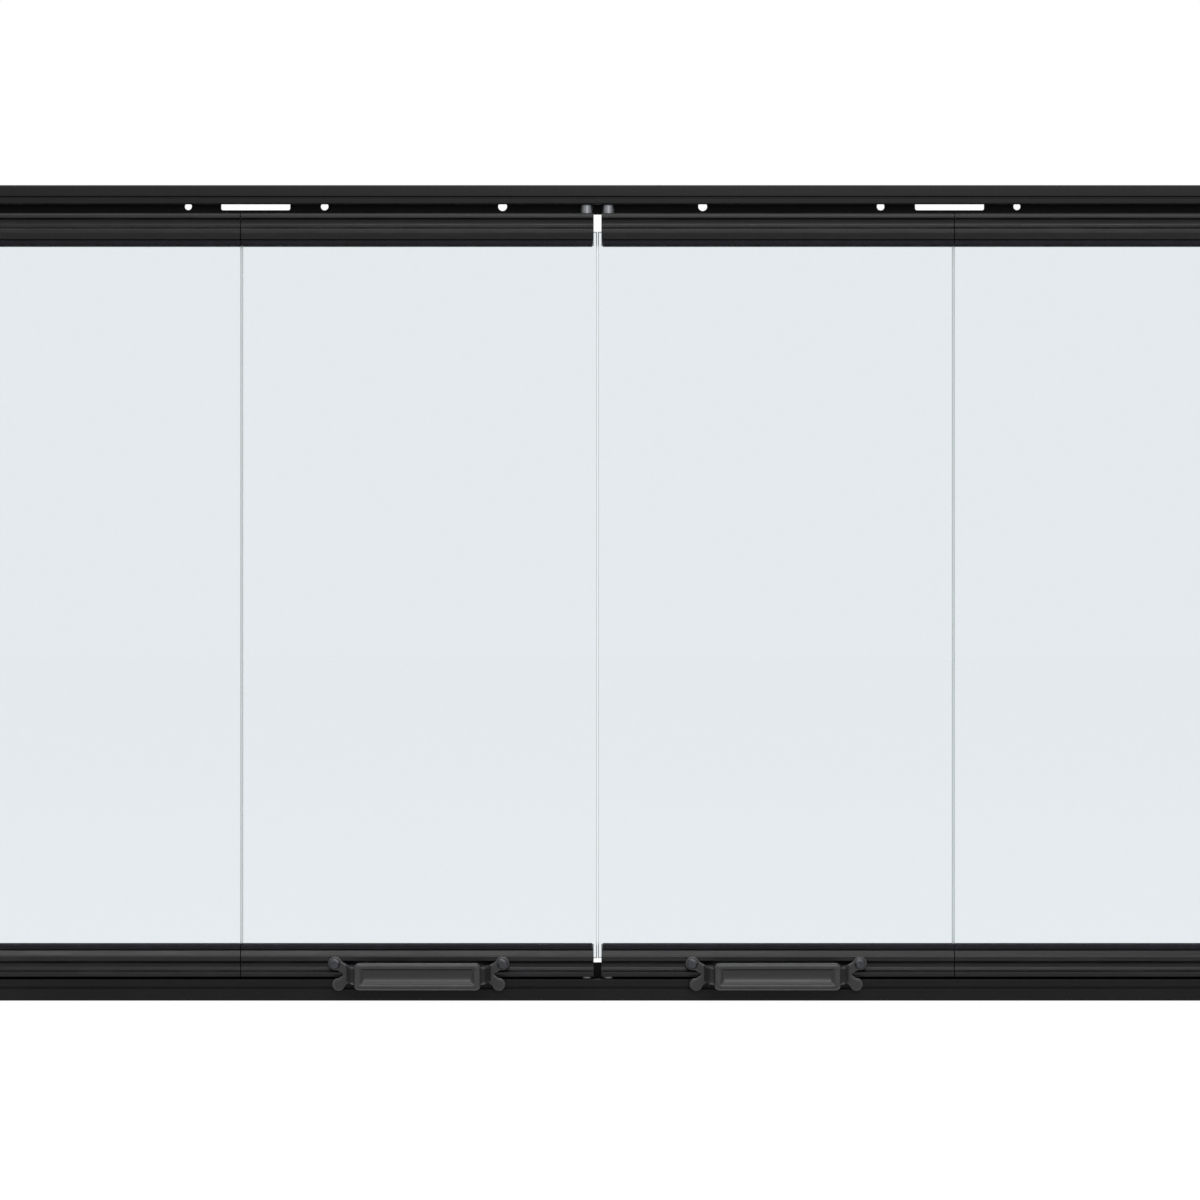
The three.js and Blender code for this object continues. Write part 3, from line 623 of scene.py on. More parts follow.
class DrawnAluminium(Finish):
    """Black anodised aluminium, extruded: a satin with die lines and rubbed patches along the bar.

    The die lines are drawn coarser than the real ones, which are too fine to show.
    """

    line_length = 300 * MM
    line_pitch = 0.5 * MM
    rub_length = 26 * MM
    rub_width = 5 * MM

    def pattern(self, tree: Tree, place: Socket, shader: Node) -> None:
        """Adds the die lines and the rubbing.

        Args:
            tree: The node tree.
            place: The object coordinates.
            shader: The shader that is fed.
        """
        fine = {"Scale": (1 / self.line_length, 1 / self.line_pitch, 1 / self.line_pitch)}
        broad = {"Scale": (1 / self.rub_length, 1 / self.rub_width, 1 / self.rub_width)}
        along = add_node(tree, "Mapping", fine, {"Vector": place}).outputs["Vector"]
        rubs = add_node(tree, "Mapping", broad, {"Vector": place}).outputs["Vector"]
        lines = add_node(tree, "TexNoise", {"Scale": 1.0, "Detail": 3.0}, {"Vector": along})
        worn = add_node(tree, "TexNoise", {"Scale": 1.0, "Detail": 5.0}, {"Vector": rubs})
        self.vary(tree, worn.outputs["Fac"], shader, spread=0.06, light="#242427", share=0.8)
        bump(tree, lines.outputs["Fac"], shader, depth=0.02 * MM, strength=0.45)


class PowderCoat(Finish):
    """Black powder coat on die cast zinc: a soft satin with a fine pebble, rubbed lighter along its edges (partly
    wear, partly a painted highlight), with painted shade keeping its hollows darker.
    """

    pebble = 0.7 * MM
    patches = 12 * MM
    hollow_shade_and_edge_wear_span = {"From Min": 0.44, "From Max": 0.58}  # the pointiness of a hollow and of an edge
    # How far pointiness moves the tint: edges lighter as wear and painted highlight, hollows darker as painted
    # shade.
    edge_wear_and_hollow_shade = 0.35
    patch_rub = {"To Min": 0.38, "To Max": 0.6}

    def pattern(self, tree: Tree, place: Socket, shader: Node) -> None:
        """Adds the pebble, the rubbing in patches, and by pointiness edges painted lighter (wear and painted
        highlight) and hollows kept darker (painted shade).

        Args:
            tree: The node tree.
            place: The object coordinates.
            shader: The shader that is fed.
        """
        pebble = add_node(tree, "TexNoise", {"Scale": 1 / self.pebble, "Detail": 2.0}, {"Vector": place})
        patches = add_node(tree, "TexNoise", {"Scale": 1 / self.patches, "Detail": 4.0}, {"Vector": place})
        # Painted light: pointiness lightens sharp edges, partly as wear and partly as a painted highlight, and
        # keeps hollows darker as painted shade.
        bend = add_node(tree, "NewGeometry").outputs["Pointiness"]
        ends = {**self.hollow_shade_and_edge_wear_span, "To Min": -self.edge_wear_and_hollow_shade, "To Max": self.edge_wear_and_hollow_shade}
        worn = add_node(tree, "MapRange", ends, {"Value": bend})
        calm = add_node(tree, "MapRange", self.patch_rub, {"Value": patches.outputs["Fac"]})
        rubbed = add_node(tree, "Math", {"operation": "ADD"})
        tree.links.new(calm.outputs["Result"], rubbed.inputs[0])
        tree.links.new(worn.outputs["Result"], rubbed.inputs[1])
        # The lighter colour that patch wear, edge wear and the painted edge highlight move towards; painted hollow
        # shade keeps the base colour.
        self.vary(tree, rubbed.outputs[0], shader, spread=0.07, light="#505053", share=0.8)
        bump(tree, pebble.outputs["Fac"], shader, depth=0.04 * MM, strength=0.6)


@dataclass(frozen=True)
class PlatedSteel(Finish):
    """Zinc plate on steel, dipped and tumbled: dulled, with a cloudy, slightly blue cast and tiny dents.

    Attributes:
        cloud: The colour of the clouds.
        clouds: How wide a cloud is.
        dents: How wide a dent is.
    """

    cloud: str = "#8f959c"
    clouds: float = 3 * MM
    dents: float = 0.5 * MM

    def pattern(self, tree: Tree, place: Socket, shader: Node) -> None:
        """Adds the clouds and the tumbling's dents.

        Args:
            tree: The node tree.
            place: The object coordinates.
            shader: The shader that is fed.
        """
        clouds = add_node(tree, "TexNoise", {"Scale": 1 / self.clouds, "Detail": 5.0}, {"Vector": place})
        dents = add_node(tree, "TexNoise", {"Scale": 1 / self.dents, "Detail": 2.0}, {"Vector": place})
        self.vary(tree, clouds.outputs["Fac"], shader, spread=0.08, light=self.cloud, share=0.6)
        bump(tree, dents.outputs["Fac"], shader, depth=0.01 * MM, strength=0.5)


class MouldedPlastic(Finish):
    """Natural nylon, injection moulded: milky, with a dull skin and faint stains."""

    glow = 0.15
    glow_depth = (1.2 * MM, 1.0 * MM, 0.7 * MM)
    skin = 0.4 * MM
    stains = 6 * MM

    def pattern(self, tree: Tree, place: Socket, shader: Node) -> None:
        """Adds light that goes into the plastic, the mould's fine texture and the stains.

        Args:
            tree: The node tree.
            place: The object coordinates.
            shader: The shader that is fed.
        """
        shader.inputs["Subsurface Weight"].default_value = self.glow
        shader.inputs["Subsurface Radius"].default_value = self.glow_depth
        skin = add_node(tree, "TexNoise", {"Scale": 1 / self.skin, "Detail": 2.0}, {"Vector": place})
        stains = add_node(tree, "TexNoise", {"Scale": 1 / self.stains, "Detail": 4.0}, {"Vector": place})
        self.vary(tree, stains.outputs["Fac"], shader, spread=0.06, light="#bdb7a6", share=0.6)
        bump(tree, skin.outputs["Fac"], shader, depth=0.01 * MM, strength=0.5)


class Silicone(Finish):
    """Black silicone rubber, extruded: matt, with a little bloom."""

    bloom = 8 * MM

    def pattern(self, tree: Tree, place: Socket, shader: Node) -> None:
        """Adds the bloom.

        Args:
            tree: The node tree.
            place: The object coordinates.
            shader: The shader that is fed.
        """
        bloom = add_node(tree, "TexNoise", {"Scale": 1 / self.bloom, "Detail": 5.0}, {"Vector": place})
        self.vary(tree, bloom.outputs["Fac"], shader, spread=0.05, light="#26252b", share=0.8)
        bump(tree, bloom.outputs["Fac"], shader, depth=0.02 * MM, strength=0.3)


@dataclass(frozen=True)
class FloatGlass(Finish):
    """Tempered soda-lime float glass: clear, with a faint grey-blue tint and dull seamed edges.

    Attributes:
        face: How far from the pane's middle its two faces begin.
        blend: Over what depth an edge turns into a face.
        edge_colour: The colour of the ground edges.
        edge_roughness: Their roughness.
        refraction: The glass's IOR.
    """

    face: float = 2.49 * MM
    blend: float = 0.01 * MM
    edge_colour: str = "#9dabaa"
    edge_roughness: float = 0.45
    refraction: float = 1.52

    def pattern(self, tree: Tree, place: Socket, shader: Node) -> None:
        """Lets light through, and makes what lies off the two faces a ground edge, darker and dull.

        Args:
            tree: The node tree.
            place: The object coordinates.
            shader: The shader that is fed.
        """
        shader.inputs["Transmission Weight"].default_value = 1.0
        shader.inputs["IOR"].default_value = self.refraction
        depth = add_node(tree, "SeparateXYZ", links={"Vector": place}).outputs["Y"]
        off_centre = add_node(tree, "Math", {"operation": "ABSOLUTE"})
        tree.links.new(depth, off_centre.inputs[0])
        ends = {"From Min": self.face - self.blend, "From Max": self.face, "To Min": 1.0, "To Max": 0.0}
        edge = add_node(tree, "MapRange", ends, {"Value": off_centre.outputs[0]}).outputs["Result"]
        mix = add_node(tree, "Mix", {"data_type": "RGBA"}, {"Factor": edge})
        mix.inputs[MIX_A].default_value = linear(self.colour)
        mix.inputs[MIX_B].default_value = linear(self.edge_colour)
        tree.links.new(mix.outputs[MIX_OUT], shader.inputs["Base Color"])
        ends = {"To Min": self.roughness, "To Max": self.edge_roughness}
        dull = add_node(tree, "MapRange", ends, {"Value": edge})
        tree.links.new(dull.outputs["Result"], shader.inputs["Roughness"])


FINISHES = (
    SatinPaint("black_paint", "sprayed_baked_enamel", "#0f0f10", roughness=0.4, specular=0.16),
    DrawnAluminium("black_anodised", "extruded_anodised_aluminium", "#161617", roughness=0.36, specular=0.24),
    PowderCoat("cast_black", "powder_coated_die_cast_zinc", "#252526", roughness=0.38, specular=0.4),
    FloatGlass("clear_glass", "tempered_float_glass", "#e3e9ec", roughness=0.0),
    Silicone("silicone", "extruded_silicone_rubber", "#17161b", roughness=0.7, specular=0.15),
    PlatedSteel("zinc_plate", "zinc_plated_turned_steel", "#77797c", roughness=0.42, metallic=1.0),
    PlatedSteel("spring_steel", "drawn_spring_steel_wire", "#85888c", roughness=0.28, metallic=1.0),
    PlatedSteel("black_zinc", "black_passivated_steel", "#3f4043", roughness=0.36, metallic=0.6, specular=0.4,
                cloud="#5a5c60"),
    MouldedPlastic("nylon", "injection_moulded_nylon", "#d6d2c6", roughness=0.5),
)


@dataclass
class Wardrobe:
    """The materials by slot, and the dressing of pieces with them."""

    materials: dict[str, bpy.types.Material]

    @classmethod
    def filled(cls) -> Wardrobe:
        """Makes the material of every finish."""
        return cls({finish.slot: finish.make() for finish in FINISHES})

    def wear(self, piece: Piece, slot: str) -> None:
        """Gives a piece the one material of a slot."""
        piece.data.materials.clear()
        piece.data.materials.append(self.materials[slot])

    def hand_over(self, piece: Piece, node: str) -> None:
        """Dresses a piece as the plain solid that it stands for, and lets it ride with that solid's body.

        Args:
            piece: The new piece.
            node: The name of the plain solid.
        """
        slot = SLOT_OF[node]
        self.wear(piece, slot)
        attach(piece, BODY_OF[node])
        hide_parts(node)
        LOG.info("%s stands for %s", piece.name, node)


SLOT_OF = {row["node"]: row["material_slot"] for row in frame["record"]["subparts"]}
BODY_OF = {node: body for body, nodes in frame["record"]["behaviour"]["bodies"].items() for node in nodes}


@dataclass
class Maker:
    """What makes a kind of piece, and puts copies of it where the panels repeat it."""

    wardrobe: Wardrobe
    stations: Stations

    def place(self, master: Piece, node: str, suffix: str, hand: Hand, panel: Panel, level: Level) -> Piece:
        """Copies a master to a station, where it stands for a plain solid.

        Args:
            master: The piece as it was modelled.
            node: The name of the plain solid.
            suffix: What the copy's name adds to that name.
            hand: The station's side of the door.
            panel: The panel that it belongs to.
            level: The end of that panel.

        Returns:
            The copy.
        """
        piece = seated(master, f"{node}_{suffix}", self.stations.seat(hand, panel, level))
        self.wardrobe.hand_over(piece, node)
        return piece


# ---- Tracks ----


@dataclass
class Tracks:
    """The two rolled channels that guide the rollers and carry the pivot blocks.

    Attributes:
        punches: The round holes in the back wall: how far from the middle, and their radius, in mm.
    """

    wardrobe: Wardrobe
    lip_inside: float = -4.4 * MM
    lip_front: float = -6.4 * MM
    rib_front: float = 4.4 * MM
    rib_back: float = 5.6 * MM
    rib_height: float = 9.5 * MM
    wall: float = 1.6 * MM
    line_width: float = 1.7 * MM
    line_depth: float = 0.8 * MM
    slot_half: float = 22.3 * MM
    slot_width: float = 4.8 * MM
    slot_corner: float = 1.2 * MM
    punch_drop: float = 12.0 * MM
    punch_shift: float = 3.3 * MM
    slot_offset: float = 224 * MM
    stud_inset: float = 22.0 * MM
    stud_hole: float = 2.3 * MM
    floor_hole: float = 2.4 * MM
    floor_hole_y: float = 8.8 * MM
    hole_facets: int = 32
    bottom_lip: float = 14.2 * MM
    bottom_line: float = 8.3 * MM
    top_lip: float = 12.4 * MM
    top_line: float = 7.9 * MM
    floor_offsets: tuple[float, float] = (150 * MM, 330 * MM)
    punches: tuple[tuple[float, float], ...] = ((64.6, 2.9), (179.5, 2.5), (267.5, 2.3), (400, 2.5))

    def build(self) -> None:
        """Builds both tracks and hands them over."""
        low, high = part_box("bottom_track")
        bottom = self.channel("bottom_track_channel", low, high, self.bottom_lip, self.bottom_line)
        carve(bottom, self.floor_tools(low, high))
        self.done(bottom, "bottom_track")
        low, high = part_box("top_track")
        top = self.channel("top_track_channel", low, high, self.top_lip, self.top_line)
        carve(top, self.punch_tools(high))
        activate(top)
        top.scale.z = -1
        top.location.z = high.z
        settle(top.name)
        self.done(top, "top_track")

    def done(self, track: Piece, node: str) -> None:
        """Turns a finished track's faces outwards, shades it and hands it over.

        Args:
            track: The track.
            node: The name of its solid.
        """
        activate(track)
        bpy.ops.object.mode_set(mode="EDIT")
        face_outwards()
        smooth(track)
        self.wardrobe.hand_over(track, node)

    def channel(self, name: str, low: Vector, high: Vector, lip: float, line: float) -> Piece:
        """Draws a track as if it lay on the floor.

        Args:
            name: The track's name.
            low: The lowest corner of its solid.
            high: The highest corner of its solid.
            lip: The height of its front lip.
            line: The height of the line pressed along the lip.

        Returns:
            The track without holes.
        """
        back = high.y
        inside = back - self.wall
        tall = high.z - low.z
        half = self.line_width / 2
        groove = self.lip_front + self.line_depth
        corners = (
            (self.lip_front, 0, 1.4 * MM),
            (back, 0, 1.2 * MM),
            (back, tall, 0.6 * MM),
            (inside, tall, 0.6 * MM),
            (inside, self.wall, 0.8 * MM),
            (self.rib_back, self.wall, 0.4 * MM),
            (self.rib_back, self.rib_height, 0.5 * MM),
            (self.rib_front, self.rib_height, 0.5 * MM),
            (self.rib_front, self.wall, 0.3 * MM),
            (self.lip_inside, self.wall, 0.3 * MM),
            (self.lip_inside, lip, 0.95 * MM),
            (self.lip_front, lip, 0.95 * MM),
            (self.lip_front, line + half, 0.3 * MM),
            (groove, line + half / 3, 0.25 * MM),
            (groove, line - half / 3, 0.25 * MM),
            (self.lip_front, line - half, 0.3 * MM),
        )
        outline = [Vector((low.x, y, h)) for y, h in rounded(corners)]
        return drawn(name, outline, Vector((high.x - low.x, 0, 0)))

    def stud_tools(self, end: float) -> list[Piece]:
        """Makes the cutters of the two holes that take the pivot blocks' studs.

        Args:
            end: The x of the track's right end.

        Returns:
            The cutters.
        """
        places = [side * (end - self.stud_inset) for side in (-1, 1)]
        top, facets = self.wall + PAST, self.hole_facets
        return [rod("tool", self.stud_hole, (x, 0, -PAST), (x, 0, top), facets) for x in places]

    def floor_tools(self, low: Vector, high: Vector) -> list[Piece]:
        """Makes the cutters of all holes in the bottom track.

        Args:
            low: The lowest corner of its solid.
            high: The highest corner of its solid.

        Returns:
            The cutters.
        """
        tools = self.stud_tools(high.x)
        for offset, side in product(self.floor_offsets, (-1, 1)):
            start = (side * offset, self.floor_hole_y, low.z - PAST)
            end = (side * offset, self.floor_hole_y, low.z + self.wall + PAST)
            tools.append(rod("tool", self.floor_hole, start, end, self.hole_facets))
        return tools

    def punch_tools(self, high: Vector) -> list[Piece]:
        """Makes the cutters of the row of holes and slots in the top track's back wall.

        Args:
            high: The highest corner of its solid.

        Returns:
            The cutters, for the track as it lies on the floor.
        """
        near = high.y - self.wall - PAST
        far = high.y + PAST
        tools = self.stud_tools(high.x)
        for side in (-1, 1):
            for offset, radius in self.punches:
                x = side * offset * MM + self.punch_shift
                start = (x, near, self.punch_drop)
                tools.append(rod("tool", radius * MM, start, (x, far, self.punch_drop), self.hole_facets))
            middle = side * self.slot_offset + self.punch_shift
            half = self.slot_width / 2
            left, right = middle - self.slot_half, middle + self.slot_half
            low, top = self.punch_drop - half, self.punch_drop + half
            radius = self.slot_corner
            corners = ((left, low, radius), (right, low, radius), (right, top, radius), (left, top, radius))
            outline = [Vector((x, near, h)) for x, h in rounded(corners)]
            tools.append(drawn("tool", outline, Vector((0, far - near, 0))))
        return tools


# ---- Rails ----

RIVET_OFFSETS = (8 * MM, 18 * MM)  # how far the rivets of a hinge are from the fold


@dataclass
class Rails(Maker):
    """The eight moulded rails that hold the glass, each with a ridge, a cove and a bead along its front."""

    back: float = 8.0 * MM
    front: float = -10.0 * MM
    shoulder: float = -7.2 * MM
    height: float = 20 * MM
    front_height: float = 17.0 * MM
    pocket: float = 4.0 * MM
    pocket_floor: float = 9.8 * MM
    cavity: float = 5.5 * MM
    cavity_low: float = 1.6 * MM
    cavity_high: float = 8.3 * MM
    cove_base: float = 3.2 * MM
    cove_top: float = 10.2 * MM
    cove_depth: float = 3.0 * MM
    cove_steps: int = 14
    ridge_radius: float = 1.8 * MM
    bead_slope: float = 13.4 * MM
    notch: float = 4.5 * MM
    notch_depth: float = 2.0 * MM
    rivet_hole: float = 1.5 * MM
    rivet_height: float = 13 * MM
    screw_hole: float = 1.8 * MM
    screw_offset: float = 53.5 * MM
    screw_height: float = 9.05 * MM
    screw_depth: float = 5.7 * MM
    hole_facets: int = 24

    def outline(self) -> list[tuple[float, float]]:
        """Draws the rail's section, from its back face over the glass to its front.

        Returns:
            The points of the section, as pairs of y and height over the rail's outer face.
        """
        half = (self.cove_top - self.cove_base) / 2
        middle = (self.cove_top + self.cove_base) / 2
        radius = (half**2 + self.cove_depth**2) / (2 * self.cove_depth)
        centre = self.front + self.cove_depth - radius
        reach = math.atan2(half, radius - self.cove_depth)
        angles = [reach - 2 * reach * step / self.cove_steps for step in range(1, self.cove_steps)]
        cove = [(centre + radius * math.cos(a), middle + radius * math.sin(a), 0) for a in angles]
        corners = (
            (self.back, 0, 0.4 * MM),
            (self.back, self.height, 0.6 * MM),
            (self.pocket, self.height, 0.3 * MM),
            (self.pocket, self.pocket_floor, 0),
            (-self.pocket, self.pocket_floor, 0),
            (-self.pocket, self.front_height, 0.3 * MM),
            (self.shoulder, self.front_height, 0.9 * MM),
            (self.front, self.bead_slope, 2.4 * MM),
            (self.front, self.cove_top, 0.7 * MM),
            *cove,
            (self.front, self.cove_base, 0.3 * MM),
            (self.front, 0, self.ridge_radius),
        )
        return rounded(corners, steps=6)

    def master(self, start: float, end: float, with_handle: bool) -> Piece:
        """Models the right lead panel's bottom rail.

        Args:
            start: Its end at the middle of the door.
            end: Its end at the fold.
            with_handle: Whether it has the holes for the handle's screws.

        Returns:
            The rail.
        """
        low = self.stations.rail_low
        ring = [Vector((start, y, low + h)) for y, h in self.outline()]
        rail = drawn("rail_master", ring, Vector((end - start, 0, 0)))
        half = self.cavity
        pin = self.stations.guide_x
        tools = [
            block(
                "tool",
                (start - PAST, -half, low + self.cavity_low),
                (end + PAST, half, low + self.cavity_high),
            ),
            block(
                "tool",
                (start - PAST, -self.notch, low - PAST),
                (pin + self.notch, self.notch, low + self.notch_depth),
            ),
        ]
        for offset in RIVET_OFFSETS:
            x = self.stations.fold_x - offset
            z = low + self.rivet_height
            near, far = (x, self.pocket - PAST, z), (x, self.back + PAST, z)
            tools.append(rod("tool", self.rivet_hole, near, far, self.hole_facets))
        if with_handle:
            grip_low, grip_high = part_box("right_handle")
            for side in (-1, 1):
                x = (grip_low.x + grip_high.x) / 2 + side * self.screw_offset
                z = low + self.screw_height
                mouth, tip = (x, self.front - PAST, z), (x, self.front + self.screw_depth, z)
                tools.append(rod("tool", self.screw_hole, mouth, tip, self.hole_facets))
        return carve(rail, tools)

    def build(self) -> None:
        """Models the rail with and without the handle's holes and copies it to the eight stations."""
        low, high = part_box("right_lead_bottom_rail")
        plain = self.master(low.x, high.x, with_handle=False)
        bored = self.master(low.x, high.x, with_handle=True)
        for hand, panel, level in product(Hand, Panel, Level):
            holds_handle = panel is Panel.LEAD and level is Level.BOTTOM
            node = f"{hand.name}_{panel.value}_{level.name}_rail".lower()
            self.place(bored if holds_handle else plain, node, "extrusion", hand, panel, level)
        discard(plain)
        discard(bored)


# ---- Gaskets ----


@dataclass
class Gaskets(Maker):
    """The eight rubber channels round the glass, each with a flange that covers its rail's front leg."""

    outer: float = 3.7 * MM
    inner: float = 2.8 * MM
    base: float = 10.1 * MM
    web: float = 11.1 * MM
    top: float = 20.8 * MM
    flange_front: float = -7.6 * MM
    flange_base: float = 17.3 * MM

    def master(self) -> Piece:
        """Models the right lead panel's bottom gasket.

        Returns:
            The gasket.
        """
        low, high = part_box("right_lead_bottom_gasket")
        corners = (
            (-self.outer, self.base, 0.4 * MM),
            (self.outer, self.base, 0.4 * MM),
            (self.outer, self.top, 0.3 * MM),
            (self.inner, self.top, 0.3 * MM),
            (self.inner, self.web, 0.2 * MM),
            (-self.inner, self.web, 0.2 * MM),
            (-self.inner, self.top, 0.3 * MM),
            (self.flange_front, self.top, 1.2 * MM),
            (self.flange_front, self.flange_base, 0.5 * MM),
            (-self.outer, self.flange_base, 0),
        )
        rail_low = self.stations.rail_low
        ring = [Vector((low.x, y, rail_low + h)) for y, h in rounded(corners, steps=5)]
        return drawn("gasket_master", ring, Vector((high.x - low.x, 0, 0)))

    def build(self) -> None:
        """Models the gasket and copies it to the eight stations."""
        gasket = self.master()
        for hand, panel, level in product(Hand, Panel, Level):
            node = f"{hand.name}_{panel.value}_{level.name}_gasket".lower()
            self.place(gasket, node, "extrusion", hand, panel, level)
        discard(gasket)


# ---- Handles ----


@dataclass
class Handles(Maker):
    """The two cast pull handles on the lead panels, and their screws.

    Attributes:
        lobes: The round ends of an ear: reach from the handle's middle, height over the rail's underside
            and radius, in mm.
        arm_root: The reach and the height, in mm, where the two arms of an ear part.
    """

    grip_half: float = 40 * MM
    grip_low: float = -6.2 * MM
    grip_high: float = 11.0 * MM
    grip_thick: float = 5.0 * MM
    grip_corner: float = 3.0 * MM
    grip_edge: float = 1.9 * MM
    recess_margin: float = 3.6 * MM
    recess_depth: float = 2.5 * MM
    recess_edge: float = 0.5 * MM
    scoop_steps: int = 14
    ear_back: float = -10.1 * MM
    ear_thick: float = 3.0 * MM
    lobes: tuple[tuple[float, float, float], ...] = ((53.5, 9.05, 4.5), (51.2, -4.4, 4.2))
    arm_root: tuple[float, float] = (42.0, 2.4)
    arm_half: float = 3.2 * MM
    lobe_edge: float = 0.7 * MM
    lobe_facets: int = 64
    leg_low: float = -3.0 * MM
    leg_high: float = 8.0 * MM
    leg_thick: float = 5.0 * MM
    leg_splay: float = 6.0 * MM
    leg_bend: float = 1.5 * MM
    leg_elbow: float = 4.0 * MM
    leg_edge: float = 0.8 * MM
    voxel: float = 0.55 * MM
    smoothing: float = 0.5
    smoothing_rounds: int = 5
    screw_hole: float = 1.8 * MM
    hole_facets: int = 32
    screw_radius: float = 1.5 * MM
    screw_head: float = 3.4 * MM
    screw_head_height: float = 2.0 * MM
    screw_tip: float = -4.6 * MM
    screw_gap: float = 0.1 * MM
    cross_reach: float = 1.9 * MM
    cross_half: float = 0.42 * MM
    cross_depth: float = 1.1 * MM

    def middle(self) -> float:
        """Gives the x of the right handle's middle, from the frame."""
        low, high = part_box("right_handle")
        return (low.x + high.x) / 2

    def grip(self, front: float) -> Piece:
        """Models the bar that the fingers pull, with the recess in its front.

        Args:
            front: The y of its front face.

        Returns:
            The bar.
        """
        x, low = self.middle(), self.stations.rail_low
        left, right = x - self.grip_half, x + self.grip_half
        base, top = low + self.grip_low, low + self.grip_high
        radius = self.grip_corner
        corners = ((left, base, radius), (right, base, radius), (right, top, radius), (left, top, radius))
        ring = [Vector((a, front, b)) for a, b in rounded(corners, steps=6)]
        bar = drawn("handle_master", ring, Vector((0, self.grip_thick, 0)))
        soften(bar, self.grip_edge, segments=5)
        edge = self.recess_margin
        low_edge, tall = base + edge, top - base - 2 * edge
        steps = self.scoop_steps
        turns = [math.pi * step / steps for step in range(steps + 1)]
        deep = self.recess_depth
        dish = [(front + deep * math.sin(a), low_edge + tall * (1 - math.cos(a)) / 2) for a in turns]
        mouth = [(front - PAST, top - edge), (front - PAST, low_edge)]
        scoop = [Vector((left + edge, b, c)) for b, c in dish + mouth]
        recess = drawn("tool", scoop, Vector((right - left - 2 * edge, 0, 0)))
        return carve(bar, [soften(recess, self.recess_edge, segments=3, angle=60)])

    def leg(self, side: int, front: float) -> Piece:
        """Models the leg that carries one end of the grip.

        Args:
            side: -1 for the inner end, 1 for the outer one.
            front: The y of the grip's front face.

        Returns:
            The leg.
        """
        x = self.middle()
        end, foot = self.grip_half, self.grip_half + self.leg_splay
        bend, back = self.ear_back - self.ear_thick, front + self.grip_thick
        corners = (
            (foot, self.ear_back, 0),
            (foot, bend, 0),
            (end + 0.55 * self.leg_splay, back + 2 * MM, self.leg_elbow),
            (end - MM, front + MM, self.leg_bend),
            (end - self.leg_thick, front + MM, 0),
            (end - self.leg_thick, back, self.leg_bend),
            (foot - self.leg_thick - MM, bend, self.leg_bend),
            (foot - self.leg_thick - MM, self.ear_back, 0),
        )
        low = self.stations.rail_low + self.leg_low
        ring = [Vector((x + side * a, b, low)) for a, b in rounded(corners)]
        leg = drawn("tool", ring, Vector((0, 0, self.leg_high - self.leg_low)))
        return soften(leg, self.leg_edge, segments=3)

    def ear(self, side: int) -> list[Piece]:
        """Models one forked ear: an arm and a round lobe each for its upper and its lower prong.

        Args:
            side: -1 for the handle's inner end, 1 for its outer one.

        Returns:
            The ear's arms and lobes.
        """
        x, low = self.middle(), self.stations.rail_low
        near, far = self.ear_back - self.ear_thick, self.ear_back
        root = Vector(self.arm_root) * MM
        pieces = []
        for reach, height, radius in self.lobes:
            lobe = Vector((reach, height)) * MM
            across = (lobe - root).normalized().orthogonal() * self.arm_half
            ring = [root + across, root - across, lobe - across, lobe + across]
            points = [Vector((x + side * a, near, low + b)) for a, b in ring]
            pieces.append(drawn("tool", points, Vector((0, far - near, 0))))
            z = low + lobe.y
            start, end = (x + side * lobe.x, near, z), (x + side * lobe.x, far, z)
            disc = rod("tool", radius * MM, start, end, self.lobe_facets)
            pieces.append(soften(disc, self.lobe_edge, segments=3))
        return pieces

    def casting(self) -> Piece:
        """Joins the grip, the legs and the ears into one casting with soft inner corners.

        Returns:
            The casting.
        """
        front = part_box("right_handle")[0].y
        body = self.grip(front)
        for side in (-1, 1):
            carve(body, [self.leg(side, front), *self.ear(side)], Cut.JOIN)
        apply_modifier(body, "REMESH", mode="VOXEL", voxel_size=self.voxel, adaptivity=0.0)
        apply_modifier(body, "SMOOTH", factor=self.smoothing, iterations=self.smoothing_rounds)
        reach, height, _ = self.lobes[0]
        for side in (-1, 1):
            x, z = self.middle() + side * reach * MM, self.stations.rail_low + height * MM
            start, end = (x, self.ear_back - self.ear_thick - PAST, z), (x, self.ear_back + PAST, z)
            carve(body, [rod("tool", self.screw_hole, start, end, self.hole_facets)])
        return body

    def screw(self, side: int) -> Piece:
        """Models one pan head screw with a cross recess.

        Args:
            side: -1 for the handle's inner end, 1 for its outer one.

        Returns:
            The screw.
        """
        reach, height, _ = self.lobes[0]
        x, z = self.middle() + side * reach * MM, self.stations.rail_low + height * MM
        seat = self.ear_back - self.ear_thick - self.screw_gap
        head, tall = self.screw_head, self.screw_head_height
        shank, deep = self.screw_radius, self.screw_tip - seat
        profile = (
            (0, -deep),
            (shank * 0.7, -deep),
            (shank, -deep + shank / 2),
            (shank, 0),
            (head * 0.96, 0),
            (head, tall * 0.12),
            (head * 0.98, tall * 0.42),
            (head * 0.88, tall * 0.7),
            (head * 0.7, tall * 0.88),
            (head * 0.4, tall * 0.98),
            (0, tall),
        )
        screw = turned("screw_master", profile, (x, seat, z), Vector((0, -1, 0)))
        top = seat - tall
        long, thin, deep = self.cross_reach, self.cross_half, top + self.cross_depth
        tools = []
        for wide, high in ((long, thin), (thin, long)):
            tools.append(block("tool", (x - wide, top - PAST, z - high), (x + wide, deep, z + high)))
        return carve(screw, tools)

    def build(self) -> None:
        """Models the right handle and its screws and copies them to both sides."""
        masters = {
            "handle": (self.casting(), "casting"),
            "handle_inner_screw": (self.screw(-1), "fastener"),
            "handle_outer_screw": (self.screw(1), "fastener"),
        }
        for hand, (part, (master, suffix)) in product(Hand, masters.items()):
            self.place(master, f"{hand.name.lower()}_{part}", suffix, hand, Panel.LEAD, Level.BOTTOM)
        for master, _ in masters.values():
            discard(master)


# ---- Hinges ----


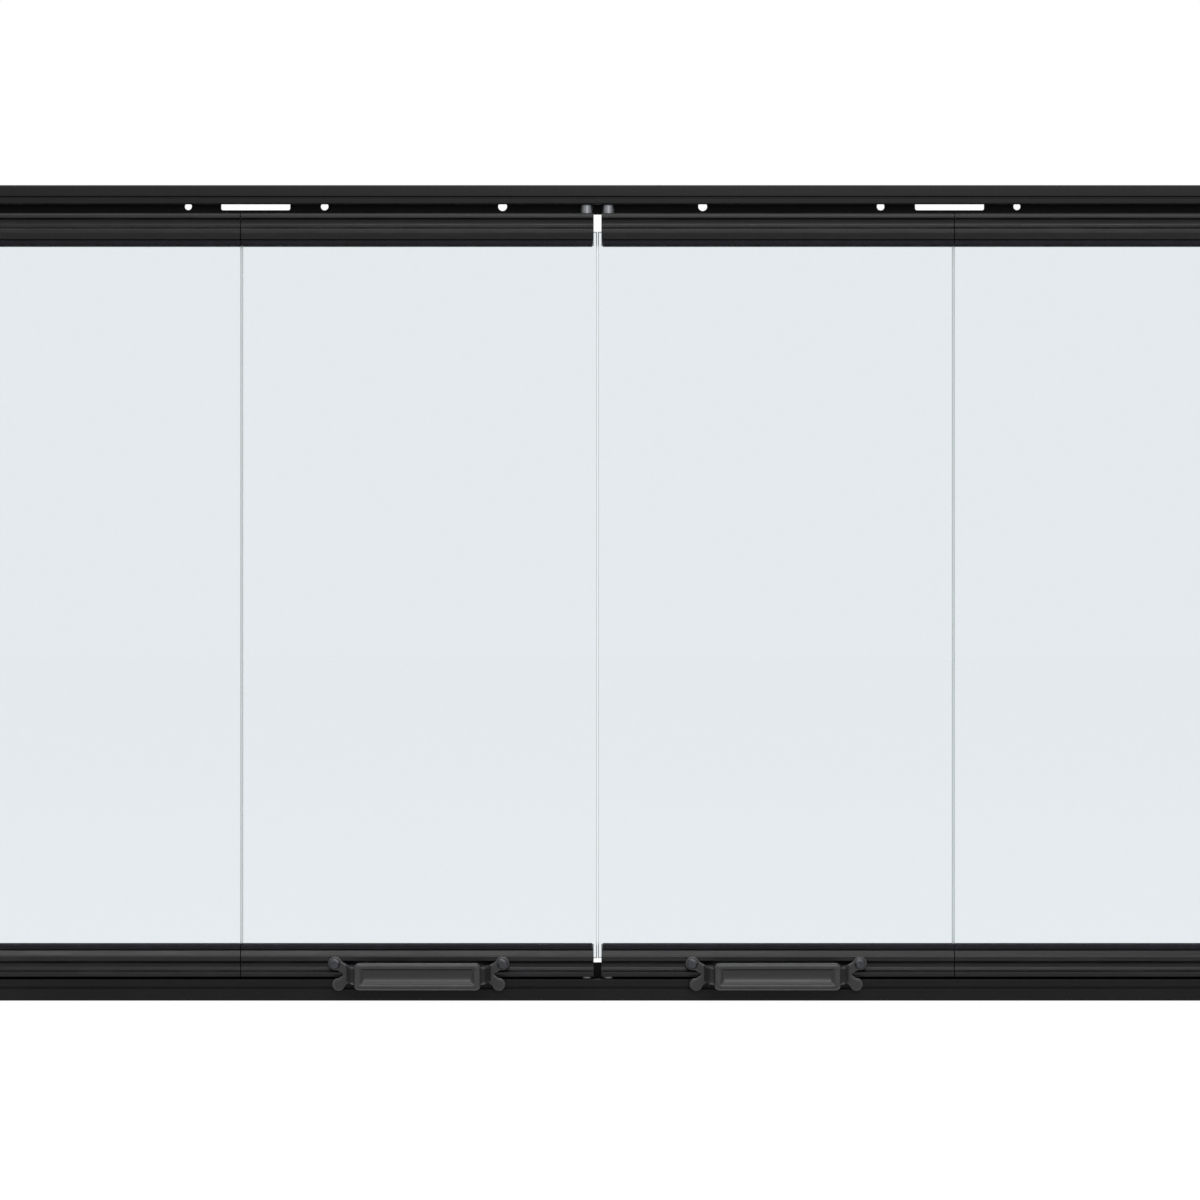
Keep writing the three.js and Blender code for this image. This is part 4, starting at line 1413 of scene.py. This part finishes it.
@dataclass
class Hinges(Maker):
    """The small riveted hinges behind the rails at the folds."""

    base: float = 8.0 * MM
    height: float = 10.0 * MM
    barrel: float = 3.0 * MM
    bore: float = 1.5 * MM
    pin: float = 1.2 * MM
    pin_head: float = 2.0 * MM
    leaf_thick: float = 1.2 * MM
    leaf_corner: float = 2.0 * MM
    leaf_edge: float = 0.2 * MM
    barrel_edge: float = 0.15 * MM
    leaf_reach: float = 24 * MM
    play: float = 0.3 * MM
    rivet_radius: float = 1.2 * MM
    rivet_head: float = 2.2 * MM
    rivet_rise: float = 0.8 * MM
    rivet_length: float = 3.4 * MM
    facets: int = 32
    barrel_facets: int = 48

    def leaf(self, knuckles: Sequence[int]) -> Piece:
        """Models one leaf with its rivets.

        Args:
            knuckles: The numbers of its knuckles, 0 being the lowest.

        Returns:
            The leaf.
        """
        fold, axis_y = self.stations.fold_x, self.stations.fold_y
        low = self.stations.rail_low + self.base
        high = low + self.height
        near = axis_y - self.barrel
        far = near + self.leaf_thick
        end = fold - self.barrel - self.play
        left = fold - self.leaf_reach
        corner = self.leaf_corner
        corners = ((left, low, corner), (end, low, 0), (end, high, 0), (left, high, corner))
        ring = [Vector((x, near, z)) for x, z in rounded(corners)]
        leaf = soften(drawn("leaf_master", ring, Vector((0, far - near, 0))), self.leaf_edge)
        tall = (self.height - 2 * self.play) / 3
        joins = []
        for knuckle in knuckles:
            foot = low + knuckle * (tall + self.play)
            ends = (fold, axis_y, foot), (fold, axis_y, foot + tall)
            barrel = rod("tool", self.barrel, *ends, self.barrel_facets)
            joins.append(soften(barrel, self.barrel_edge))
            joins.append(block("tool", (end - self.play, near, foot), (fold, far, foot + tall)))
        ends = (fold, axis_y, low - PAST), (fold, axis_y, high + PAST)
        bore = rod("tool", self.bore, *ends, self.facets)
        joins.extend(self.rivet(fold - offset, far, low + self.height / 2) for offset in RIVET_OFFSETS)
        carve(leaf, joins, Cut.JOIN)
        return carve(leaf, [bore])

    def rivet(self, x: float, face: float, z: float) -> Piece:
        """Models a rivet with a domed head.

        Args:
            x: The x of its axis.
            face: The y of the face that its head stands on.
            z: The z of its axis.

        Returns:
            The rivet.
        """
        root = -(self.leaf_thick + self.rivet_length)
        head, rise, sunk = self.rivet_head, self.rivet_rise, -self.leaf_thick / 2
        profile = (
            (0, root),
            (self.rivet_radius, root),
            (self.rivet_radius, sunk),
            (head, sunk),
            (head, 0.2 * rise),
            (head * 0.92, 0.5 * rise),
            (head * 0.72, 0.8 * rise),
            (head * 0.4, 0.96 * rise),
            (0, rise),
        )
        return turned("tool", profile, (x, face, z), Vector((0, 1, 0)), self.facets)

    def hinge_pin(self, node: str) -> None:
        """Models one hinge pin, with its head on top, and hands it over.

        Args:
            node: The name of its solid.
        """
        low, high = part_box(node)
        head = high.z - low.z - MM
        profile = (
            (0, 0),
            (self.pin * 0.75, 0),
            (self.pin, 0.3 * MM),
            (self.pin, head),
            (self.pin_head, head),
            (self.pin_head, head + 0.4 * MM),
            (self.pin_head * 0.8, head + 0.75 * MM),
            (self.pin_head * 0.45, head + 0.95 * MM),
            (0, head + MM),
        )
        foot = ((low.x + high.x) / 2, (low.y + high.y) / 2, low.z)
        pin = turned(f"{node}_turning", profile, foot, Vector((0, 0, 1)), self.facets)
        smooth(pin)
        self.wardrobe.hand_over(pin, node)

    def build(self) -> None:
        """Models both leaves and copies them to the four folds, with their pins."""
        masters = {Panel.LEAD: self.leaf([1]), Panel.OUTER: self.leaf([0, 2])}
        for hand, level in product(Hand, Level):
            hinge = f"{hand.name}_{level.name}_hinge".lower()
            for panel, master in masters.items():
                self.place(master, f"{hinge}_{panel.value}_leaf", "stamping", hand, panel, level)
            self.hinge_pin(f"{hinge}_pin")
        for master in masters.values():
            discard(master)


# ---- Pivots, guides and rollers ----


@dataclass
class RunningGear(Maker):
    """What the panels turn and travel on: pivots with their blocks, and guides with their rollers."""

    insert_half: float = 5.2 * MM
    insert_low: float = 1.9 * MM
    insert_high: float = 8.0 * MM
    insert_length: float = 24 * MM
    insert_lead: float = 4.2 * MM
    insert_edge: float = 0.5 * MM
    collar: float = 4.0 * MM
    collar_edge: float = 0.4 * MM
    guide_pin: float = 2.0 * MM
    guide_head: float = 2.8 * MM
    pivot_pin: float = 1.9 * MM
    pivot_point: float = 0.6 * MM
    turret: float = 4.2 * MM
    turret_edge: float = 0.4 * MM
    chamber: float = 3.0 * MM
    turret_rise: float = 4.0 * MM
    turret_roof: float = 1.1 * MM
    flange: float = 2.7 * MM
    flange_thick: float = 1.2 * MM
    flange_edge: float = 0.2 * MM
    play: float = 0.3 * MM
    spring_wire: float = 0.3 * MM
    spring_radius: float = 2.2 * MM
    spring_turns: int = 5
    spring_sides: int = 10
    spring_steps: int = 24
    roller_edge: float = 0.7 * MM
    block_height: float = 8.0 * MM
    block_edge: float = 1.0 * MM
    stud: float = 2.0 * MM
    stud_out: float = 1.6 * MM
    stud_root: float = 2.0 * MM
    stud_inset: float = 10.3 * MM
    stud_edge: float = 0.3 * MM
    stud_facets: int = 32
    bore_facets: int = 40
    up: Vector = Vector((0, 0, 1))

    def insert(self, name: str) -> Piece:
        """Models the block that slides into a rail's end, at the right lead panel's bottom.

        Args:
            name: The new object's name.

        Returns:
            The block.
        """
        pin, low = self.stations.guide_x, self.stations.rail_low
        start = pin - self.insert_lead
        corner = (start, -self.insert_half, low + self.insert_low)
        opposite = (start + self.insert_length, self.insert_half, low + self.insert_high)
        return soften(block(name, corner, opposite), self.insert_edge, segments=3)

    def axis(self, height: float) -> tuple[float, float, float]:
        """Gives a point on the guide axis, at a height over the rail's face to the track."""
        return (self.stations.guide_x, 0, self.stations.rail_low + height)

    def spindle(self, name: str, stem: Sequence[tuple[float, float]], shoulder: float) -> Piece:
        """Joins an insert, its collar and what stands out of it.

        Args:
            name: The new object's name.
            stem: The profile of what stands out, from its tip to the collar.
            shoulder: The height of the collar's face.

        Returns:
            The spindle.
        """
        edge, wide, root = self.collar_edge, self.collar, self.insert_low + MM
        collar = ((wide - edge, shoulder), (wide, shoulder + edge), (wide, root), (0, root))
        return carve(self.insert(name), [turned("tool", (*stem, *collar), self.axis(0), self.up)], Cut.JOIN)

    def guide(self, node: str) -> Piece:
        """Models a guide as long as its solid: insert, collar, pin and peened head.

        Args:
            node: The name of its solid.

        Returns:
            The guide, at the right lead panel's bottom.
        """
        low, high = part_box(node)
        tip = self.insert_high - (high.z - low.z)
        roller_low, roller_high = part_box(node.replace("guide", "roller"))
        gap = roller_low.z - low.z if "bottom" in node else high.z - roller_high.z
        shoulder = tip + gap + (roller_high.z - roller_low.z) + self.play
        stem = (
            (0, tip),
            (self.guide_head * 0.7, tip),
            (self.guide_head * 0.94, tip + 0.2 * MM),
            (self.guide_head, tip + 0.5 * MM),
            (self.guide_head * 0.96, tip + MM),
            (self.guide_pin, tip + MM),
            (self.guide_pin, shoulder),
        )
        return self.spindle("guide_master", stem, shoulder)

    def bottom_pivot(self) -> Piece:
        """Models the fixed pivot that carries a pair's weight.

        Returns:
            The pivot.
        """
        low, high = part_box("right_bottom_pivot")
        tip = self.insert_high - (high.z - low.z)
        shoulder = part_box("bottom_pivot_block_right")[1].z + self.play - self.stations.rail_low
        stem = (
            (0, tip),
            (self.pivot_pin - self.pivot_point, tip),
            (self.pivot_pin, tip + self.pivot_point),
            (self.pivot_pin, shoulder),
        )
        return self.spindle("pivot_master", stem, shoulder)

    def housing(self) -> Piece:
        """Models the sprung pivot's housing, with its chamber open towards the glass.

        Returns:
            The housing.
        """
        roof = -self.turret_rise
        turret = rod("tool", self.turret, self.axis(roof), self.axis(self.insert_high - MM))
        soften(turret, self.turret_edge)
        body = carve(self.insert("housing_master"), [turret], Cut.JOIN)
        ceiling = roof + self.turret_roof
        tools = [
            rod("tool", self.chamber, self.axis(ceiling), self.axis(self.insert_high + PAST)),
            rod("tool", self.pivot_pin + self.play, self.axis(roof - PAST), self.axis(ceiling + PAST)),
        ]
        return carve(body, tools)

    def plunger(self) -> Piece:
        """Models the plunger that the spring lifts into the top pivot block.

        Returns:
            The plunger.
        """
        low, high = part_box("right_pivot_plunger")
        face = -self.turret_rise + self.turret_roof + self.play
        tip = face + self.flange_thick - (high.z - low.z)
        profile = (
            (0, tip),
            (self.pivot_pin - self.pivot_point, tip),
            (self.pivot_pin - 0.15 * MM, tip + 0.3 * MM),
            (self.pivot_pin, tip + 0.8 * MM),
            (self.pivot_pin, face),
            (self.flange - self.flange_edge, face),
            (self.flange, face + self.flange_edge),
            (self.flange, face + self.flange_thick - self.flange_edge),
            (self.flange - self.flange_edge, face + self.flange_thick),
            (0, face + self.flange_thick),
        )
        return turned("plunger_master", profile, self.axis(0), self.up)

    def spring(self) -> Piece:
        """Winds the spring under the plunger as one open coil.

        Returns:
            The coil.
        """
        low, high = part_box("right_pivot_spring")
        deselect()
        first = self.insert_high - (high.z - low.z) + self.spring_wire
        x, y, z = self.axis(first)
        bpy.ops.mesh.primitive_circle_add(
            vertices=self.spring_sides,
            radius=self.spring_wire,
            rotation=(math.pi / 2, 0, 0),
            location=(x + self.spring_radius, y, z),
        )
        coil = settle("spring_master")
        centre = bpy.data.objects.new("spring_axis", None)
        centre.location = (x, y, z)
        bpy.context.scene.collection.objects.link(centre)
        rise = high.z - low.z - 2 * self.spring_wire
        apply_modifier(
            coil,
            "SCREW",
            object=centre,
            axis="Z",
            angle=2 * math.pi,
            screw_offset=rise / self.spring_turns,
            iterations=self.spring_turns,
            steps=self.spring_steps,
            render_steps=self.spring_steps,
        )
        bpy.data.objects.remove(centre)
        activate(coil)
        bpy.ops.object.mode_set(mode="EDIT")
        bpy.ops.mesh.select_all(action="SELECT")
        bpy.ops.mesh.remove_doubles(threshold=DOUBLES)
        bpy.ops.mesh.select_mode(type="EDGE")
        bpy.ops.mesh.select_all(action="DESELECT")
        bpy.ops.mesh.select_non_manifold(extend=False)
        bpy.ops.mesh.edge_face_add()
        face_outwards()
        return coil

    def compress(self, coil: Piece, node: str, joint: str) -> None:
        """Gives a spring a mesh of its own; it does not shorten as its plunger goes in.

        Args:
            coil: The spring.
            node: The name of its solid. Not used.
            joint: The plunger's joint. Not used.
        """
        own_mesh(coil)

    def roller(self, node: str) -> None:
        """Models one nylon roller with a shallow crown and hands it over.

        Args:
            node: The name of its solid.
        """
        low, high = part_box(node)
        radius, tall = (high.x - low.x) / 2, high.z - low.z
        bore = self.guide_pin + self.play
        edge = self.roller_edge
        profile = (
            (bore, 0),
            (radius - edge, 0),
            (radius - 0.3 * edge, 0.25 * edge),
            (radius, edge),
            (radius, tall - edge),
            (radius - 0.3 * edge, tall - 0.25 * edge),
            (radius - edge, tall),
            (bore, tall),
            (bore, 0),
        )
        foot = ((low.x + high.x) / 2, (low.y + high.y) / 2, low.z)
        roller = turned(f"{node}_moulding", profile, foot, self.up)
        smooth(roller)
        self.wardrobe.hand_over(roller, node)

    def pivot_block(self, node: str, pivot_x: float) -> None:
        """Models one pivot block with its stud and its bore, and hands it over.

        Args:
            node: The name of its solid.
            pivot_x: The x of the pivot axis that goes through it.
        """
        low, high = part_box(node)
        at_bottom = "bottom" in node
        base = low.z + self.stud_out if at_bottom else low.z
        top = base + self.block_height
        body = block(f"{node}_moulding", (low.x, low.y, base), (high.x, high.y, top))
        soften(body, self.block_edge, segments=4)
        stud_x = pivot_x - math.copysign(self.stud_inset, pivot_x)
        foot, head = (low.z, base + self.stud_root) if at_bottom else (top - self.stud_root, high.z)
        stud = rod("tool", self.stud, (stud_x, 0, foot), (stud_x, 0, head), self.stud_facets)
        carve(body, [soften(stud, self.stud_edge)], Cut.JOIN)
        ends = (pivot_x, 0, low.z - PAST), (pivot_x, 0, high.z + PAST)
        carve(body, [rod("tool", self.pivot_pin + self.play, *ends, self.bore_facets)])
        smooth(body)
        self.wardrobe.hand_over(body, node)

    def build(self) -> None:
        """Copies what the panels repeat to its stations, and models rollers and blocks in their places."""
        outer = Panel.OUTER
        masters = {
            "bottom_guide": (self.guide("right_bottom_guide"), Panel.LEAD, Level.BOTTOM, "spindle"),
            "top_guide": (self.guide("right_top_guide"), Panel.LEAD, Level.TOP, "spindle"),
            "bottom_pivot": (self.bottom_pivot(), outer, Level.BOTTOM, "spindle"),
            "top_pivot_housing": (self.housing(), outer, Level.TOP, "moulding"),
            "pivot_plunger": (self.plunger(), outer, Level.TOP, "turning"),
            "pivot_spring": (self.spring(), outer, Level.TOP, "coil"),
        }
        for hand in Hand:
            side = hand.name.lower()
            for part, (master, panel, level, suffix) in masters.items():
                node = f"{side}_{part}"
                piece = self.place(master, node, suffix, hand, panel, level)
                if part == "pivot_spring":
                    self.compress(piece, node, f"{side}_plunger_slide")
            pivot_x = hand.value * (2 * self.stations.fold_x - self.stations.guide_x)
            for level in Level:
                end = level.name.lower()
                self.roller(f"{side}_{end}_roller")
                self.pivot_block(f"{end}_pivot_block_{side}", pivot_x)
        for master, *_ in masters.values():
            discard(master)


# ---- Stage ----


@dataclass(frozen=True)
class Lamp:
    """A soft rectangular lamp that faces the middle of the door.

    Attributes:
        name: Its name.
        place: Where it stands.
        size: Its width and height.
        power: Its power in watts.
    """

    name: str
    place: tuple[float, float, float]
    size: tuple[float, float]
    power: float

    def build(self) -> None:
        """Adds the lamp."""
        data = bpy.data.lights.new(self.name, "AREA")
        data.shape = "RECTANGLE"
        data.size, data.size_y = self.size
        data.energy = self.power
        lamp = bpy.data.objects.new(self.name, data)
        lamp.location = self.place
        aim = Vector((0, 0, DOOR_MIDDLE)) - Vector(self.place)
        lamp.rotation_euler = aim.to_track_quat("-Z", "Y").to_euler()
        bpy.context.scene.collection.objects.link(lamp)


# The key stands high, so that the rails' coves stay dark. The fill stands where no pane mirrors it to the
# camera.
LAMPS = (
    Lamp("key_softbox", (-0.4, -0.95, 2.7), (2.4, 0.6), 28),
    Lamp("fill_softbox", (0.3, -2.6, 1.45), (1.6, 0.4), 26),
)


@dataclass
class Studio:
    """The pale floor, the soft light and the camera at the photograph's place.

    Attributes:
        floor_size: The length of the floor's sides.
        floor_drop: How far the floor lies under the door.
        floor_seen: The floor's colour where the camera sees it.
        floor_lighting: Its colour as it lights the door.
        surround: The strength of the surround as it lights the door.
        glow: The floor's own light where the camera sees it.
    """

    floor_size: float = 30.0
    floor_drop: float = 0.2 * MM
    floor_seen: str = "#464646"
    floor_lighting: str = "#8c8c8c"
    surround: float = 0.5
    glow: float = 0.965

    def camera(self) -> None:
        """Puts the camera level, in front of the door, so that one pixel is 0.64 mm on the rails' front."""
        rails_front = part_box("right_lead_bottom_rail")[0].y
        wide = PHOTO_PIXELS * MM_PER_PIXEL * MM
        middle = PHOTO_PIXELS / 2
        x = (middle - PHOTO_CENTRE_X) * MM_PER_PIXEL * MM
        z = (PHOTO_BOTTOM_Y - middle) * MM_PER_PIXEL * MM
        data = bpy.data.cameras.new("photo_camera")
        data.sensor_width = SENSOR_WIDTH
        data.lens = SENSOR_WIDTH * CAMERA_DISTANCE / wide
        data.clip_start = NEAREST_SEEN
        camera = bpy.data.objects.new("photo_camera", data)
        camera.location = (x, rails_front - CAMERA_DISTANCE, z)
        camera.rotation_euler = (math.pi / 2, 0, 0)
        bpy.context.scene.collection.objects.link(camera)
        bpy.context.scene.camera = camera

    def seen(self, tree: Tree) -> Socket:
        """Adds a value that is 1 on rays from the camera, also by way of a reflection or through glass.

        Args:
            tree: The node tree.

        Returns:
            The value.
        """
        path = add_node(tree, "LightPath")
        first = add_node(tree, "Math", {"operation": "MAXIMUM"})
        tree.links.new(path.outputs["Is Camera Ray"], first.inputs[0])
        tree.links.new(path.outputs["Is Glossy Ray"], first.inputs[1])
        both = add_node(tree, "Math", {"operation": "MAXIMUM"})
        tree.links.new(first.outputs[0], both.inputs[0])
        tree.links.new(path.outputs["Is Transmission Ray"], both.inputs[1])
        return both.outputs[0]

    def world(self) -> None:
        """Makes a white surround that lights the door at a plain level."""
        world = bpy.data.worlds.new("studio_surround")
        bpy.context.scene.world = world
        world.use_nodes = True
        tree = world.node_tree
        levels = {"To Min": self.surround, "To Max": 1.0}
        strength = add_node(tree, "MapRange", levels, {"Value": self.seen(tree)})
        background = tree.nodes["Background"]
        background.inputs["Color"].default_value = linear(WHITE)
        tree.links.new(strength.outputs["Result"], background.inputs["Strength"])

    def floor(self) -> None:
        """Lays the pale floor. Its own white fills in most of the shadow on it, as on a light table."""
        deselect()
        bpy.ops.mesh.primitive_plane_add(size=self.floor_size, location=(0, 0, -self.floor_drop))
        floor = settle("studio_floor")
        material = bpy.data.materials.new("studio_floor")
        material.use_nodes = True
        tree = material.node_tree
        tree.nodes.remove(tree.nodes["Principled BSDF"])
        seen = self.seen(tree)
        colour = add_node(tree, "Mix", {"data_type": "RGBA"}, {"Factor": seen})
        colour.inputs[MIX_A].default_value = linear(self.floor_lighting)
        colour.inputs[MIX_B].default_value = linear(self.floor_seen)
        diffuse = add_node(tree, "BsdfDiffuse", links={"Color": colour.outputs[MIX_OUT]})
        glow = add_node(tree, "Emission", {"Color": linear(WHITE)})
        level = add_node(tree, "MapRange", {"To Max": self.glow}, {"Value": seen})
        tree.links.new(level.outputs["Result"], glow.inputs["Strength"])
        both = add_node(tree, "AddShader")
        tree.links.new(diffuse.outputs[0], both.inputs[0])
        tree.links.new(glow.outputs[0], both.inputs[1])
        tree.links.new(both.outputs[0], tree.nodes["Material Output"].inputs["Surface"])
        floor.data.materials.append(material)

    def build(self) -> None:
        """Sets up the camera, the surround, the floor and the lamps."""
        self.camera()
        self.world()
        self.floor()
        for lamp in LAMPS:
            lamp.build()
        bpy.context.scene.view_settings.view_transform = "Standard"
        LOG.info("studio ready")


def dress_panes(wardrobe: Wardrobe) -> None:
    """Gives the panes, whose solids stay, the finish of their slot.

    Args:
        wardrobe: The materials.
    """
    for name, node in frame["nodes"].items():
        if name.endswith("_glass"):
            wardrobe.wear(node, SLOT_OF[name])
            LOG.info("%s keeps its solid", name)


def main() -> None:
    """Builds the door's pieces in order and sets the stage."""
    logging.basicConfig(level=logging.INFO, format="%(name)s: %(message)s")
    Studio().build()
    wardrobe = Wardrobe.filled()
    stations = Stations.from_frame()
    makers = (
        Tracks(wardrobe),
        Rails(wardrobe, stations),
        Gaskets(wardrobe, stations),
        Handles(wardrobe, stations),
        Hinges(wardrobe, stations),
        RunningGear(wardrobe, stations),
    )
    for maker in makers:
        maker.build()
    dress_panes(wardrobe)
    deselect()


if __name__ == "__main__":
    main()
